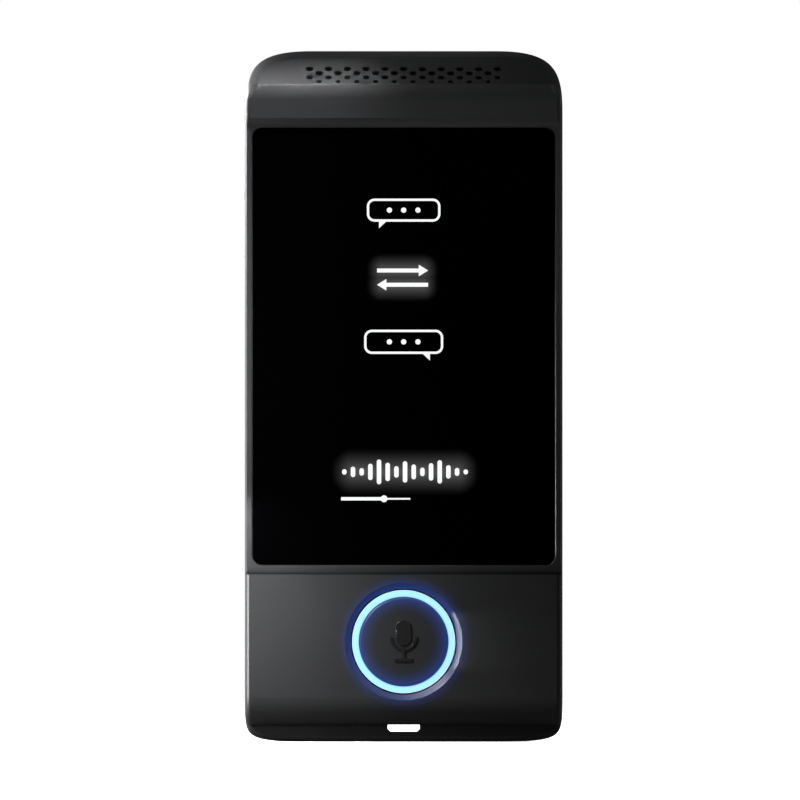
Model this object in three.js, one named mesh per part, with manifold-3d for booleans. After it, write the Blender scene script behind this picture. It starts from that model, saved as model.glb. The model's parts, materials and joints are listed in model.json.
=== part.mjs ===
// A handheld translator, standing on its lower end: X to the right, Y from the screen to the back, Z up.
// The origin is in the middle of the flat foot. All lengths are in millimetres and all angles in degrees.

import * as THREE from 'three';
import { mergeVertices } from 'three/addons/utils/BufferGeometryUtils.js';
import Module from 'manifold-3d';

// Case, outside
const caseWidth = 57.9;
const caseHeight = 126;
const caseDepth = 15;
const wall = 1.4;
const seam = 0.12;
const topCornerAcross = 12;
const topCornerRise = 11;
const topCornerAcrossShare = 0.15;
const topCornerRiseShare = 0.3;
const footCornerAcross = 12;
const footCornerRise = 7;
const footCornerAcrossShare = 0;
const footCornerRiseShare = 0.1;
const frontEdgeWidth = 1.1;
const frontEdgeDepth = 2.2;
const backEdgeWidth = 2;
const backEdgeDepth = 2.1;
const footEdgeDepth = 1;

// Case, side profile of the front. A drop is measured down, a rise up and an inset in from the side.
const lipHeight = 3.1;
const lipSetback = 3.2;
const chinRoundRise = 5.2;
const chinRoundDepth = 2.8;
const browRoundDrop = 9;
const browRoundDepth = 0.8;
const bevelDrop = 6.2;
const bevelTilt = 57;
const partingFootDepth = 4.9;
const partingTopDepth = 2.3;

// Screen recess, glass and display
const recessDepth = 0.5;
const recessLowMargin = 0.2;
const recessHighMargin = 0.3;
const recessSlope = 1.6;
const glassInset = 1.45;
const glassDrop = 14.2;
const glassCorner = 1.75;
const glassThickness = 0.9;
const glassSink = 0.15;
const fitGap = 0.15;
const layerGap = 0.05;
const adhesiveThickness = 0.2;
const ledgeWidth = 1.25;
const ledgeThickness = 1.15;
const ledgeReach = 1.3;
const displayThickness = 1.6;
const displayMargin = 0.4;

// Chassis plate behind the display
const chassisThickness = 0.7;
const chassisDisplayGap = 0.25;
const chassisSide = 3.3;
const topEarInset = 10.35;
const topEarDrop = 11;
const footEarInset = 8.45;
const footEarDrop = 3;
const earRadius = 1.7;
const smallBossRadius = 1.6;
const smallScrewRadius = 0.6;
const smallHeadRadius = 1.15;
const smallHeadThickness = 0.6;
const smallBore = 0.75;
const smallScrewReach = 1.5;

// Speaker under the slanted face
const holeRadius = 0.73;
const holeRowRadiusShares = [1, 1, 0.88, 0.7];
const holeColumns = 11;
const holeFieldInset = 11.8;
const holeRowPitch = 1.44;
const holeRowsDrop = 4.48;
const speakerMeshThickness = 0.25;
const speakerMeshMargin = 1.05;
const speakerMeshHalfHeight = 2.7;
const speakerGasketThickness = 0.6;
const speakerGasketRim = 0.8;
const speakerHoleOverlap = 1.65;
const speakerSpan = [-2.9, 5];
const speakerThickness = 3;
const speakerConeMargin = 1.2;
const speakerConeRise = 0.3;

// Talk button, light ring and their board
const buttonFootGap = 2.86;
const buttonTopGap = 1.84;
const buttonRadius = 8;
const buttonSink = 0.3;
const buttonTravel = 0.6;
const buttonEdge = 0.3;
const buttonDepth = 2;
const buttonFlangeWidth = 0.7;
const buttonFlangeThickness = 0.5;
const buttonSkirt = 0.8;
const buttonFace = 1;
const buttonPostRadius = 1.6;
const ringWidth = 1.34;
const ringSink = 0.55;
const ringEdge = 0.25;
const ringFlangeWidth = 1.41;
const ringFlangeThickness = 0.6;
const ringSkirtInset = 1.05;
const wellWidth = 1.11;
const wellDepth = 0.65;
const ledCount = 12;
const ledInset = 0.85;
const ledSize = [1.5, 0.8, 1.1];
const ledStripWidth = 1.5;
const ledStripThickness = 0.2;
const stemRadius = 1.2;
const stemLength = 0.3;
const stemGap = 0.15;
const switchHalf = 3.1;
const switchThickness = 0.4;

// Sub board in the chin
const subBoardThickness = 1;
const subBoardLeftInset = 2.35;
const subBoardRightInset = 7.45;
const subBoardFootGap = 0.9;
const subBoardDrop = 5.7;
const subBoardTabHalf = 13;
const subBoardTabDrop = 0.8;
const subBoardBossInset = 11.45;
const subBoardBossDrop = 2.2;
const subBoardPegInset = 14.95;
const subBoardPegRise = 2;
const bossNotch = 0.5;

// USB-C socket in the left side
const usbRise = 13;
const usbWidth = 8.94;
const usbThickness = 3.26;
const usbCorner = 1.5;
const usbShell = 0.3;
const usbLength = 7.2;
const usbInset = 0.35;
const usbTongue = [6.7, 0.7];
const usbTongueSetback = 0.8;
const usbOpeningGap = 0.2;

// Main board and what it carries
const standoffHeight = 1.05;
const mainBoardThickness = 1;
const mainBoardInset = 3.95;
const mainBoardDrop = 12.5;
const mainBoardHeight = 31.3;
const boardScrewInset = 2.5;
const standoffRadius = 1.4;
const shieldThickness = 1.8;
const shieldCorner = 0.4;
const shieldRise = 6.4;
const processorShieldInset = 7;
const processorShieldRight = 6;
const processorShieldDrop = 10;
const shieldGap = 3;
const radioShieldInset = 4;
const radioShieldDrop = 8;
const padMargin = 3;
const chipSize = [2.4, 1, 1.6];
const chipCount = 6;
const chipPitch = 3.6;
const chipRise = 3.8;

// Battery and flexes
const batteryInset = 4.95;
const batteryFootGap = 1.7;
const batteryTopGap = 2;
const batteryRearGap = 2.15;
const batteryCorner = 1.6;
const batteryPadMargin = 4;
const flexThickness = 0.2;
const flexWidth = 8;
const flexX = 1;
const connectorThickness = 0.8;
const connectorLength = 2.6;
const connectorEdge = 0.3;
const leadX = -12;
const leadWidth = 5;
const displayFlexX = 6;
const displayFlexWidth = 6;
const displayFlexDrop = 4.7;
const displayFlexRise = 5.7;
const displayFlexThickness = 0.12;

// Side keys
const keySetback = 6.9;
const keyWidth = 3;
const keyTravel = 0.35;
const powerKeyDrop = 30;
const powerKeyLength = 12;
const rockerDrop = 32;
const rockerLength = 20;
const keyFlangeMargin = 0.7;
const keyFlangeThickness = 0.6;
const keyFlangeGap = 0.2;
const rockerSwing = 1.6;
const rockerNubOffset = 5.5;
const keyNubRadius = 0.9;
const sideSwitchDepth = 1.8;
const sideSwitchHeight = 3.6;
const sideSwitchThickness = 2.6;
const pinRadius = 0.4;
const pinFit = 0.05;
const pinSetback = 2.75;
const hubHalf = 0.9;
const hubGap = 0.15;
const hubSideGap = 0.3;
const lugThickness = 0.9;
const lugGap = 0.5;
const lugHalf = 1;
const lugReach = 1.95;

// Rear camera, flash and microphones
const cameraInset = 13.95;
const cameraTopGap = 0.1;
const cameraHalf = 4.2;
const cameraBodyGap = 2.5;
const cameraBarrelGap = 0.35;
const cameraLensGap = 0.27;
const cameraWindowRadius = 4.2;
const cameraWindowThickness = 0.85;
const cameraWindowSink = 0.08;
const windowLedge = 0.85;
const flashOffset = 9.5;
const flashRadius = 1.7;
const flashStemRadius = 1.1;
const flashLedHalf = 1.2;
const flashLedThickness = 0.8;
const microphoneSize = [3.4, 1, 2.6];
const microphonePort = 0.5;
const upperMicrophoneInset = 15.95;
const upperMicrophoneDrop = 4.1;
const lowerMicrophoneX = 8;
const lowerPortGap = 1.6;
const bootRadius = 1.5;
const bootHalf = 1.6;
const bootBore = 0.45;
const motorInset = 11.45;
const motorRise = 10.6;
const motorRadius = 4;
const motorThickness = 2.6;

// Antennas on the rear wall
const antennaThickness = 0.2;
const mainAntennaLeft = -7;
const mainAntennaInset = 8.95;
const mainAntennaDrop = 5.8;
const mainAntennaHeight = 5.8;
const footAntennaInset = 10.95;
const footAntennaRise = 3.5;
const footAntennaHeight = 12;
const antennaPatch = 2.2;
const antennaNotch = 4.4;

// Case screws, their bosses and plugs
const caseScrewInset = 5.35;
const caseScrewRise = 4.5;
const caseScrewDrop = 9;
const bossRadius = 2;
const postRadius = 2.4;
const bossSetback = 5.5;
const bossBore = 0.85;
const bossBoreDepth = 5;
const screwRadius = 0.75;
const screwReach = 4.4;
const screwHeadRadius = 1.5;
const screwHeadThickness = 1.1;
const screwHole = 1;
const counterboreRadius = 1.75;
const counterboreDepth = 3.3;
const plugRadius = 1.65;
const plugThickness = 1.8;
const plugSink = 0.08;
const ribThickness = 1;
const ribDepth = 1.6;
const ribGap = 0.3;

// Lanyard slot through the lip
const slotWidth = 5.87;
const slotLow = 1.75;
const slotChamfer = 0.5;

// Faceting and overrun, for cuts that run past a face
const overrun = 1;
const weldDistance = 0.0004;
const cornerSamples = 96;
const barSides = 14;
const smallBarSides = 8;
const holeSides = 8;
const ringSides = 40;
const arcSteps = 4;
const frontEdgeSteps = 2;
const backEdgeSteps = 3;
const footRowShares = [0, 0.008, 0.028, 0.08, 0.2, 0.4, 0.68, 0.96];
const chinRowShares = [0, 0.2, 0.45, 0.72, 1];
const slopeRowShares = [0, 0.3, 0.7, 1];
const browRowShares = [0, 0.36, 0.7, 1];
const bevelRowShares = [0.25, 0.48, 0.68, 0.83, 0.93, 0.98, 1];

// Faces of the case, and the angles in radians
const front = -caseDepth / 2;
const back = caseDepth / 2;
const side = caseWidth / 2;
const innerSide = side - wall;
const innerFront = front + wall;
const innerBack = back - wall;
const cavityLow = lipHeight + wall;
const cavityHigh = caseHeight - wall;
const radians = Math.PI / 180;
const quarter = Math.PI / 2;
const tilt = bevelTilt * radians;
const swing = rockerSwing * radians;

// Places on the front, from the foot up: the talk button, the glass, the brow and the slanted face
const ringInner = buttonRadius + fitGap;
const ringOuter = ringInner + ringWidth;
const ringFlangeRadius = ringOuter + ringFlangeWidth;
const wellRadius = ringOuter + wellWidth;
const ledRadius = ringFlangeRadius - ledInset;
const buttonHeight = cavityLow + buttonFootGap + ringFlangeRadius;
const buttonAt = [0, buttonHeight];
const glassLow = buttonHeight + ringFlangeRadius + buttonTopGap + ledgeReach;
const glassHigh = caseHeight - glassDrop;
const glassSpanX = [glassInset - side, side - glassInset];
const glassSpanZ = [glassLow, glassHigh];
const recessLow = glassLow - recessLowMargin;
const recessHigh = glassHigh + recessHighMargin;
const chinRoundTop = lipHeight + chinRoundRise;
const browRoundStart = caseHeight - browRoundDrop;
const bevelStart = caseHeight - bevelDrop;
const holeRowsMiddle = caseHeight - holeRowsDrop;
const holeFieldHalf = side - holeFieldInset;
const speakerMeshHalf = [holeFieldHalf + speakerMeshMargin, speakerMeshHalfHeight];
const speakerHalfWidth = holeFieldHalf - speakerHoleOverlap;

// Places inside, as [x, z] on the right-hand side or as spans
const chassisTopEar = [side - topEarInset, caseHeight - topEarDrop];
const chassisFootEar = [side - footEarInset, glassLow - footEarDrop];
const caseScrews = [
  [side - caseScrewInset, cavityLow + caseScrewRise], [side - caseScrewInset, caseHeight - caseScrewDrop]];
const mainBoardHalfWidth = side - mainBoardInset;
const mainBoardHigh = caseHeight - mainBoardDrop;
const mainBoardLow = mainBoardHigh - mainBoardHeight;
const boardScrewX = mainBoardHalfWidth - boardScrewInset;
const boardScrews = [
  [boardScrewX, mainBoardLow + boardScrewInset], [boardScrewX, mainBoardHigh - boardScrewInset]];
const processorShieldX = [processorShieldInset - mainBoardHalfWidth, processorShieldRight];
const processorShieldZ = [mainBoardLow + shieldRise, mainBoardHigh - processorShieldDrop];
const radioShieldX = [processorShieldRight + shieldGap, mainBoardHalfWidth - radioShieldInset];
const radioShieldZ = [mainBoardLow + shieldRise, mainBoardHigh - radioShieldDrop];
const batteryHalfWidth = side - batteryInset;
const batterySpanZ = [glassLow + batteryFootGap, mainBoardLow - batteryTopGap];
const subBoardSpanX = [subBoardLeftInset - side, side - subBoardRightInset];
const subBoardSpanZ = [cavityLow + subBoardFootGap, glassLow - subBoardDrop];
const subBoardTabTop = glassLow - subBoardTabDrop;
const subBoardBoss = [side - subBoardBossInset, subBoardSpanZ[1] - subBoardBossDrop];
const subBoardPeg = [side - subBoardPegInset, subBoardSpanZ[0] + subBoardPegRise];
const usbHeight = cavityLow + usbRise;
const keyY = back - keySetback;
const powerKeyHeight = caseHeight - powerKeyDrop;
const rockerHeight = caseHeight - rockerDrop;
const cameraAt = [cameraInset - side, mainBoardHigh - cameraTopGap - cameraHalf];
const flashAt = [cameraAt[0] + flashOffset, cameraAt[1]];
const upperMicrophone = [side - upperMicrophoneInset, mainBoardHigh - upperMicrophoneDrop];
const motorCentre = [side - motorInset, subBoardSpanZ[0] + motorRise];

const wasm = await Module();
wasm.setup();
const model = new THREE.Group();

// Solids

// A closed geometry as a solid with its faces turned out.
function solid(geometry) {
  const bare = geometry.clone();
  bare.deleteAttribute('normal');
  bare.deleteAttribute('uv');
  const merged = mergeVertices(bare, weldDistance);
  const mesh = {
    numProp: 3,
    vertProperties: new Float32Array(merged.attributes.position.array),
    triVerts: new Uint32Array(merged.index.array),
  };
  const made = new wasm.Manifold(new wasm.Mesh(mesh));
  if (made.volume() > 0) return made;
  for (let i = 0; i < mesh.triVerts.length; i += 3) {
    [mesh.triVerts[i], mesh.triVerts[i + 1]] = [mesh.triVerts[i + 1], mesh.triVerts[i]];
  }
  return new wasm.Manifold(new wasm.Mesh(mesh));
}

// A box between two spans, each [low, high], along X, Y and Z.
function block(x, y, z) {
  const geometry = new THREE.BoxGeometry(x[1] - x[0], y[1] - y[0], z[1] - z[0]);
  return solid(geometry.translate((x[0] + x[1]) / 2, (y[0] + y[1]) / 2, (z[0] + z[1]) / 2));
}

// A round bar along Y at [x, z].
function barY(radius, y, [x, z], sides = barSides) {
  const geometry = new THREE.CylinderGeometry(radius, radius, y[1] - y[0], sides);
  return solid(geometry.translate(x, (y[0] + y[1]) / 2, z));
}

// A round bar along X at [y, z].
function barX(radius, x, [y, z], sides = smallBarSides) {
  const geometry = new THREE.CylinderGeometry(radius, radius, x[1] - x[0], sides).rotateZ(quarter);
  return solid(geometry.translate((x[0] + x[1]) / 2, y, z));
}

// A round bar along Z at [x, y].
function barZ(radius, z, [x, y], sides = smallBarSides) {
  const geometry = new THREE.CylinderGeometry(radius, radius, z[1] - z[0], sides).rotateX(quarter);
  return solid(geometry.translate(x, y, (z[0] + z[1]) / 2));
}

// A solid turned round an axis along Y at [x, z], from [radius, y] points.
function turned(points, [x, z], sides = ringSides) {
  const profile = points.map(([radius, y]) => new THREE.Vector2(radius, y));
  return solid(new THREE.LatheGeometry(profile, sides).translate(x, 0, z));
}

// A rectangle with round corners, as an outline.
function roundedOutline(u, v, radius) {
  const shape = new THREE.Shape();
  shape.absarc(u[1] - radius, v[0] + radius, radius, -quarter, 0);
  shape.absarc(u[1] - radius, v[1] - radius, radius, 0, quarter);
  shape.absarc(u[0] + radius, v[1] - radius, radius, quarter, 2 * quarter);
  shape.absarc(u[0] + radius, v[0] + radius, radius, 2 * quarter, 3 * quarter);
  return shape;
}

// An outline in X and Z, drawn out along Y.
function drawnAlongY(shape, y) {
  const geometry = new THREE.ExtrudeGeometry(shape, {
    depth: y[1] - y[0], bevelEnabled: false, curveSegments: arcSteps });
  const turn = new THREE.Matrix4().makeBasis(
    new THREE.Vector3(1, 0, 0), new THREE.Vector3(0, 0, 1), new THREE.Vector3(0, -1, 0));
  return solid(geometry.applyMatrix4(turn).translate(0, y[1], 0));
}

// An outline in Y and Z, drawn out along X.
function drawnAlongX(shape, x) {
  const geometry = new THREE.ExtrudeGeometry(shape, {
    depth: x[1] - x[0], bevelEnabled: false, curveSegments: arcSteps });
  const turn = new THREE.Matrix4().makeBasis(
    new THREE.Vector3(0, 1, 0), new THREE.Vector3(0, 0, 1), new THREE.Vector3(1, 0, 0));
  return solid(geometry.applyMatrix4(turn).translate(x[0], 0, 0));
}

function roundedPlate(x, y, z, radius) {
  return drawnAlongY(roundedOutline(x, z, radius), y);
}

function outlineOf(points) {
  return new THREE.Shape(points.map(([u, v]) => new THREE.Vector2(u, v)));
}

function united(solids) {
  return solids.reduce((sum, next) => sum.add(next));
}

function without(body, cuts) {
  return cuts.reduce((rest, cut) => rest.subtract(cut), body);
}

function span(middle, size) {
  return [middle - size / 2, middle + size / 2];
}

// The same place on the left and the right.
function bothSides(places) {
  return places.flatMap(([x, z]) => [[x, z], [-x, z]]);
}

function geometryOf(body) {
  const mesh = body.getMesh();
  const geometry = new THREE.BufferGeometry();
  geometry.setAttribute('position', new THREE.BufferAttribute(mesh.vertProperties, 3));
  geometry.setIndex(new THREE.BufferAttribute(mesh.triVerts, 1));
  geometry.computeVertexNormals();
  return geometry;
}

function addPiece(name, body, material, parent = model) {
  const mesh = new THREE.Mesh(geometryOf(body), material);
  mesh.name = name;
  parent.add(mesh);
}

// A row of like pieces, numbered from 1.
function addPieces(name, places, make, material) {
  places.forEach((place, i) => addPiece(`${name}_${i + 1}`, make(place), material));
}

// Materials

function finish(color, roughness, metalness = 0) {
  return new THREE.MeshStandardMaterial({ color, roughness, metalness });
}

const casePlastic = finish('#232426', 0.42);
const glassBlack = finish('#020203', 0.06);
const clearWindow = finish('#101418', 0.05);
const glow = finish('#bffaff', 0.3);
const rubber = finish('#1b1b1c', 0.8);
const foam = finish('#2b2b2c', 0.95);
const steel = finish('#a9acae', 0.35, 1);
const darkSteel = finish('#3a3c3e', 0.4, 1);
const magnesium = finish('#8d9093', 0.5, 1);
const boardGreen = finish('#163f2c', 0.55);
const chipBlack = finish('#17181a', 0.5);
const copperFlex = finish('#a8622a', 0.5);
const foil = finish('#bfc2c6', 0.3, 1);
const adhesive = finish('#e6e2d6', 0.8);
const whitePlastic = finish('#e9ecee', 0.5);
const gold = finish('#c9a24a', 0.35, 1);

// Case shape

// One corner of the case as [distance from the side, distance from the end], moved in by inset.
function cornerPoints(across, rise, acrossShare, riseShare, inset) {
  const curve = new THREE.CubicBezierCurve(
    new THREE.Vector2(across, 0),
    new THREE.Vector2(across * acrossShare, 0),
    new THREE.Vector2(0, rise * riseShare),
    new THREE.Vector2(0, rise));
  return Array.from({ length: cornerSamples + 1 }, (_, i) => {
    const point = curve.getPoint(i / cornerSamples);
    const along = curve.getTangent(i / cornerSamples);
    return [point.x + inset * along.y, point.y - inset * along.x];
  });
}

// How far in from the side a corner is, at a distance from the end.
function cornerInset(points, fromEnd) {
  if (fromEnd <= points[0][1]) return points[0][0];
  const i = points.findIndex((point) => point[1] >= fromEnd);
  if (i < 0) return points[points.length - 1][0];
  const share = (fromEnd - points[i - 1][1]) / (points[i][1] - points[i - 1][1]);
  return points[i - 1][0] + share * (points[i][0] - points[i - 1][0]);
}

// A function of height that gives half the width of the case's outline, moved in by inset.
function outlineHalfWidth(inset) {
  const top = cornerPoints(
    topCornerAcross, topCornerRise, topCornerAcrossShare, topCornerRiseShare, inset);
  const foot = cornerPoints(
    footCornerAcross, footCornerRise, footCornerAcrossShare, footCornerRiseShare, inset);
  return (z) => side - Math.max(cornerInset(top, caseHeight - z), cornerInset(foot, z));
}

// The radius of an arc that starts flat and drops by depth over a run.
function arcRadius(run, depth) {
  return (run * run + depth * depth) / (2 * depth);
}

// Where the front lies at a height, for the case's face moved in by inset.
function frontAt(z, inset = 0) {
  if (z < lipHeight) return front + lipSetback;
  const chinRadius = arcRadius(chinRoundTop - lipHeight, chinRoundDepth);
  const browRadius = arcRadius(bevelStart - browRoundStart, browRoundDepth);
  const chinRun = Math.max(chinRoundTop - z, 0);
  const browEnd = (browRadius - inset) * (bevelStart - browRoundStart) / browRadius;
  const browRun = Math.min(Math.max(z - browRoundStart, 0), browEnd);
  const chin = front + chinRadius - Math.sqrt((chinRadius - inset) ** 2 - chinRun ** 2);
  const brow = front + browRadius - Math.sqrt((browRadius - inset) ** 2 - browRun ** 2);
  const bevel = front + browRoundDepth + (z - bevelStart) * Math.tan(tilt) + inset / Math.cos(tilt);
  return Math.max(chin, brow, bevel);
}

function smoothShare(share) {
  const held = Math.min(Math.max(share, 0), 1);
  return held * held * (3 - 2 * held);
}

// The floor of the full-width recess that holds the glass.
function recessFloor(z) {
  const low = smoothShare((z - recessLow + recessSlope) / recessSlope);
  const high = smoothShare((recessHigh + recessSlope - z) / recessSlope);
  return front + recessDepth * Math.min(low, high);
}

// Heights of the rows that the case's faces are made of.
function caseRows() {
  const between = (low, high, shares) => shares.map((share) => low + share * (high - low));
  return [
    ...between(0, lipHeight, footRowShares),
    ...between(lipHeight, chinRoundTop, chinRowShares),
    ...between(recessLow - recessSlope, recessLow, slopeRowShares),
    ...between(recessHigh, recessHigh + recessSlope, slopeRowShares),
    ...between(browRoundStart, bevelStart, browRowShares),
    ...between(bevelStart, caseHeight, bevelRowShares),
  ];
}

// A row's height on a ring that is moved in: the end rows close up, the others stay.
function rowHeight(z, inset) {
  if (z < lipHeight) return inset + (lipHeight - inset) * z / lipHeight;
  if (z <= bevelStart) return z;
  const reach = caseHeight - bevelStart;
  return caseHeight - inset - (reach - inset) * (caseHeight - z) / reach;
}

// A closed body from rings of right-hand [x, y, z] points, each ring mirrored to the left.
function ringedBody(rings) {
  const rows = rings[0].length;
  const loop = 2 * rows;
  const mirrored = rings.map((ring) => [...ring, ...ring.map(([x, y, z]) => [-x, y, z]).reverse()]);
  const positions = mirrored.flat(2);
  const index = [];
  const quad = (a, b, c, d) => index.push(a, b, c, a, c, d);
  for (let ring = 0; ring + 1 < rings.length; ring++) {
    for (let i = 0; i < loop; i++) {
      const next = (i + 1) % loop;
      quad(ring * loop + i, ring * loop + next, (ring + 1) * loop + next, (ring + 1) * loop + i);
    }
  }
  const last = (rings.length - 1) * loop;
  for (let row = 0; row + 1 < rows; row++) {
    quad(row, loop - 1 - row, loop - 2 - row, row + 1);
    quad(last + row, last + row + 1, last + loop - 2 - row, last + loop - 1 - row);
  }
  const geometry = new THREE.BufferGeometry();
  geometry.setAttribute('position', new THREE.Float32BufferAttribute(positions, 3));
  geometry.setIndex(index);
  return solid(geometry);
}

// One ring of the case at an inset, with its depth given by a function of the row's height.
function caseRing(inset, rows, depthAt) {
  const halfWidth = outlineHalfWidth(inset);
  return rows.map((row) => {
    const z = rowHeight(row, inset);
    return [halfWidth(z), depthAt(z), z];
  });
}

// Angles over the front edge, with one that ends on the recess floor.
function frontEdgeAngles() {
  const recessAngle = Math.asin(1 - recessDepth / frontEdgeDepth);
  const steps = Array.from({ length: frontEdgeSteps }, (_, i) => i / frontEdgeSteps);
  const low = steps.map((share) => share * recessAngle);
  const high = steps.map((share) => recessAngle + share * (quarter - recessAngle));
  return [...low, ...high, quarter];
}

function outerBody() {
  const rows = caseRows();
  const frontRings = frontEdgeAngles().reverse().map((angle) => {
    const dropShare = 1 - Math.sin(angle);
    return caseRing(frontEdgeWidth * (1 - Math.cos(angle)), rows, (z) => {
      const depth = z < lipHeight ? footEdgeDepth : frontEdgeDepth;
      return Math.max(frontAt(z) + depth * dropShare, recessFloor(z));
    });
  });
  const backRings = Array.from({ length: backEdgeSteps + 1 }, (_, i) => {
    const angle = quarter * i / backEdgeSteps;
    const y = back - backEdgeDepth * (1 - Math.sin(angle));
    return caseRing(backEdgeWidth * (1 - Math.cos(angle)), rows, () => y);
  });
  return ringedBody([...frontRings, ...backRings]);
}

function cavity() {
  const bends = (z) => z <= chinRoundTop || z >= browRoundStart;
  const inside = caseRows().filter((z) => z > cavityLow && z < cavityHigh && bends(z));
  const rows = [cavityLow, ...inside, cavityHigh];
  const halfWidth = outlineHalfWidth(wall);
  const ring = (depthAt) => rows.map((z) => [halfWidth(z), depthAt(z), z]);
  return ringedBody([ring((z) => frontAt(z, wall)), ring(() => innerBack)]);
}

// The rear housing's share of the case: behind the parting plane, and the lip below the chin.
function rearRegion(gap) {
  const far = caseDepth + overrun;
  const lipTop = lipHeight - gap;
  const low = back - partingFootDepth + gap;
  const high = back - partingTopDepth + gap;
  const top = caseHeight + overrun;
  const shape = outlineOf([
    [-far, -overrun], [far, -overrun], [far, top], [high, top], [low, lipTop], [-far, lipTop]]);
  return drawnAlongX(shape, [-side - overrun, side + overrun]);
}

// The slanted speaker face: a frame with Y into the case and Z up the slant.
const bevelMiddle = [
  0, front + browRoundDepth + (holeRowsMiddle - bevelStart) * Math.tan(tilt), holeRowsMiddle];
const bevelFrame = new THREE.Matrix4().makeRotationX(-tilt).setPosition(...bevelMiddle);

function speakerHoles() {
  return holeRowRadiusShares.flatMap((radiusShare, row) => {
    const count = holeColumns - row % 2;
    return Array.from({ length: count }, (_, column) => {
      const radius = holeRadius * radiusShare;
      const geometry = new THREE.CylinderGeometry(radius, radius, 2 * wall + overrun, holeSides);
      const x = (2 * column - count + 1) * holeFieldHalf / (holeColumns - 1);
      const up = ((holeRowRadiusShares.length - 1) / 2 - row) * holeRowPitch;
      return solid(geometry.translate(x, wall / 2, up).applyMatrix4(bevelFrame));
    });
  });
}

// Depths of the layers behind the glass

const glassFront = front + recessDepth + glassSink;
const glassBack = glassFront + glassThickness;
const ledgeFront = glassBack + adhesiveThickness;
const ledgeBack = ledgeFront + ledgeThickness;
const displayBack = glassBack + layerGap + displayThickness;
const chassisFront = displayBack + chassisDisplayGap;
const chassisBack = chassisFront + chassisThickness;
const mainFront = chassisBack + standoffHeight;
const mainBack = mainFront + mainBoardThickness;
const buttonFront = front + buttonSink;
const flangeFront = buttonFront + buttonDepth;
const flangeBack = flangeFront + buttonFlangeThickness;
const switchFront = flangeBack + buttonTravel + layerGap;
const subFront = switchFront + switchThickness + layerGap;
const subBack = subFront + subBoardThickness;
const lowerPortY = subBack + lowerPortGap;
const ledBack = subFront - layerGap;
const ledFront = ledBack - ledSize[1];
const batteryFront = chassisBack + 2 * layerGap + adhesiveThickness;
const batteryBack = innerBack - batteryRearGap;
const bossBack = back - bossSetback;
const usbY = subBack + layerGap + usbThickness / 2;

function grown([low, high], by) {
  return [low - by, high + by];
}

// Openings for a key: a slot with round ends through a side wall.
function keySlot(sideSign, height, length, width) {
  const shape = roundedOutline(span(keyY, width), span(height, length), width / 2);
  const x = sideSign > 0 ? [innerSide - overrun, side + overrun] : [-side - overrun, -innerSide + overrun];
  return drawnAlongX(shape, x);
}

function usbOutline(by) {
  return roundedOutline(
    grown(span(usbY, usbThickness), by), grown(span(usbHeight, usbWidth), by), usbCorner + by);
}

// The two lugs that hold the rocker's pin, without the pin's hole.
function pinLugs() {
  const x = [-innerSide - wall / 2, -innerSide + lugReach];
  const z = span(rockerHeight, 2 * lugHalf);
  const reach = keyWidth / 2 + keyFlangeMargin + lugGap;
  return [-1, 1].map((sign) => {
    const near = keyY + sign * reach;
    const far = keyY + sign * (reach + lugThickness);
    return block(x, [Math.min(near, far), Math.max(near, far)], z);
  });
}

const pinX = -side + pinSetback;
const pinSpanY = span(keyY, keyWidth + 2 * (keyFlangeMargin + lugGap + lugThickness));

function frontHousing(shell) {
  const body = shell.subtract(rearRegion(0));
  const windowX = grown(glassSpanX, -ledgeWidth);
  const windowZ = grown(glassSpanZ, -ledgeWidth);
  const ledge = block(
    [-side + wall / 2, side - wall / 2],
    [glassFront + wall / 2, ledgeBack],
    grown(glassSpanZ, ledgeReach));
  const smallBosses = [
    ...bothSides([subBoardBoss, subBoardPeg]).map(
      (at) => barY(smallBossRadius, [innerFront - wall / 2, subFront - layerGap], at)),
    ...bothSides([subBoardPeg]).map(
      (at) => barY(smallScrewRadius, [innerFront, subBack], at, smallBarSides)),
    ...bothSides([chassisTopEar, chassisFootEar]).map(
      (at) => barY(smallBossRadius, [innerFront - wall / 2, chassisFront - layerGap], at)),
  ];
  const caseBosses = bothSides(caseScrews).map(
    (at) => barY(bossRadius, [innerFront - wall / 2, bossBack], at));
  const solidParts = united([body, ledge, ...smallBosses, ...caseBosses, ...pinLugs()]);

  const pocket = roundedPlate(
    grown(glassSpanX, fitGap), [front - overrun, ledgeFront], grown(glassSpanZ, fitGap),
    glassCorner + fitGap);
  const wellBore = ringOuter + fitGap;
  const well = turned([
    [0, front - overrun], [wellRadius, front - overrun], [wellRadius, front],
    [wellBore, front + wellDepth], [wellBore, innerFront + overrun], [0, innerFront + overrun]],
  buttonAt);
  const smallBores = [
    ...bothSides([subBoardBoss]).map(
      (at) => barY(smallBore, [subFront - smallScrewReach - layerGap, subFront], at, smallBarSides)),
    ...bothSides([chassisTopEar, chassisFootEar]).map(
      (at) => barY(
        smallBore, [chassisFront - smallScrewReach - layerGap, chassisFront], at, smallBarSides)),
  ];
  const caseBoreY = [bossBack - bossBoreDepth, bossBack + overrun];
  const caseBores = bothSides(caseScrews).map((at) => barY(bossBore, caseBoreY, at, smallBarSides));
  return without(solidParts, [
    pocket,
    roundedPlate(windowX, [front, ledgeBack + overrun], windowZ, glassCorner),
    well,
    drawnAlongX(usbOutline(usbOpeningGap), [-side - overrun, -innerSide + overrun]),
    keySlot(1, powerKeyHeight, powerKeyLength, keyWidth),
    keySlot(-1, rockerHeight, rockerLength, keyWidth),
    barY(pinRadius + pinFit, grown(pinSpanY, overrun), [pinX, rockerHeight], smallBarSides),
    barZ(microphonePort, [-overrun, cavityLow + overrun], [lowerMicrophoneX, lowerPortY]),
    ...smallBores, ...caseBores, ...speakerHoles(),
  ]);
}

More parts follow.
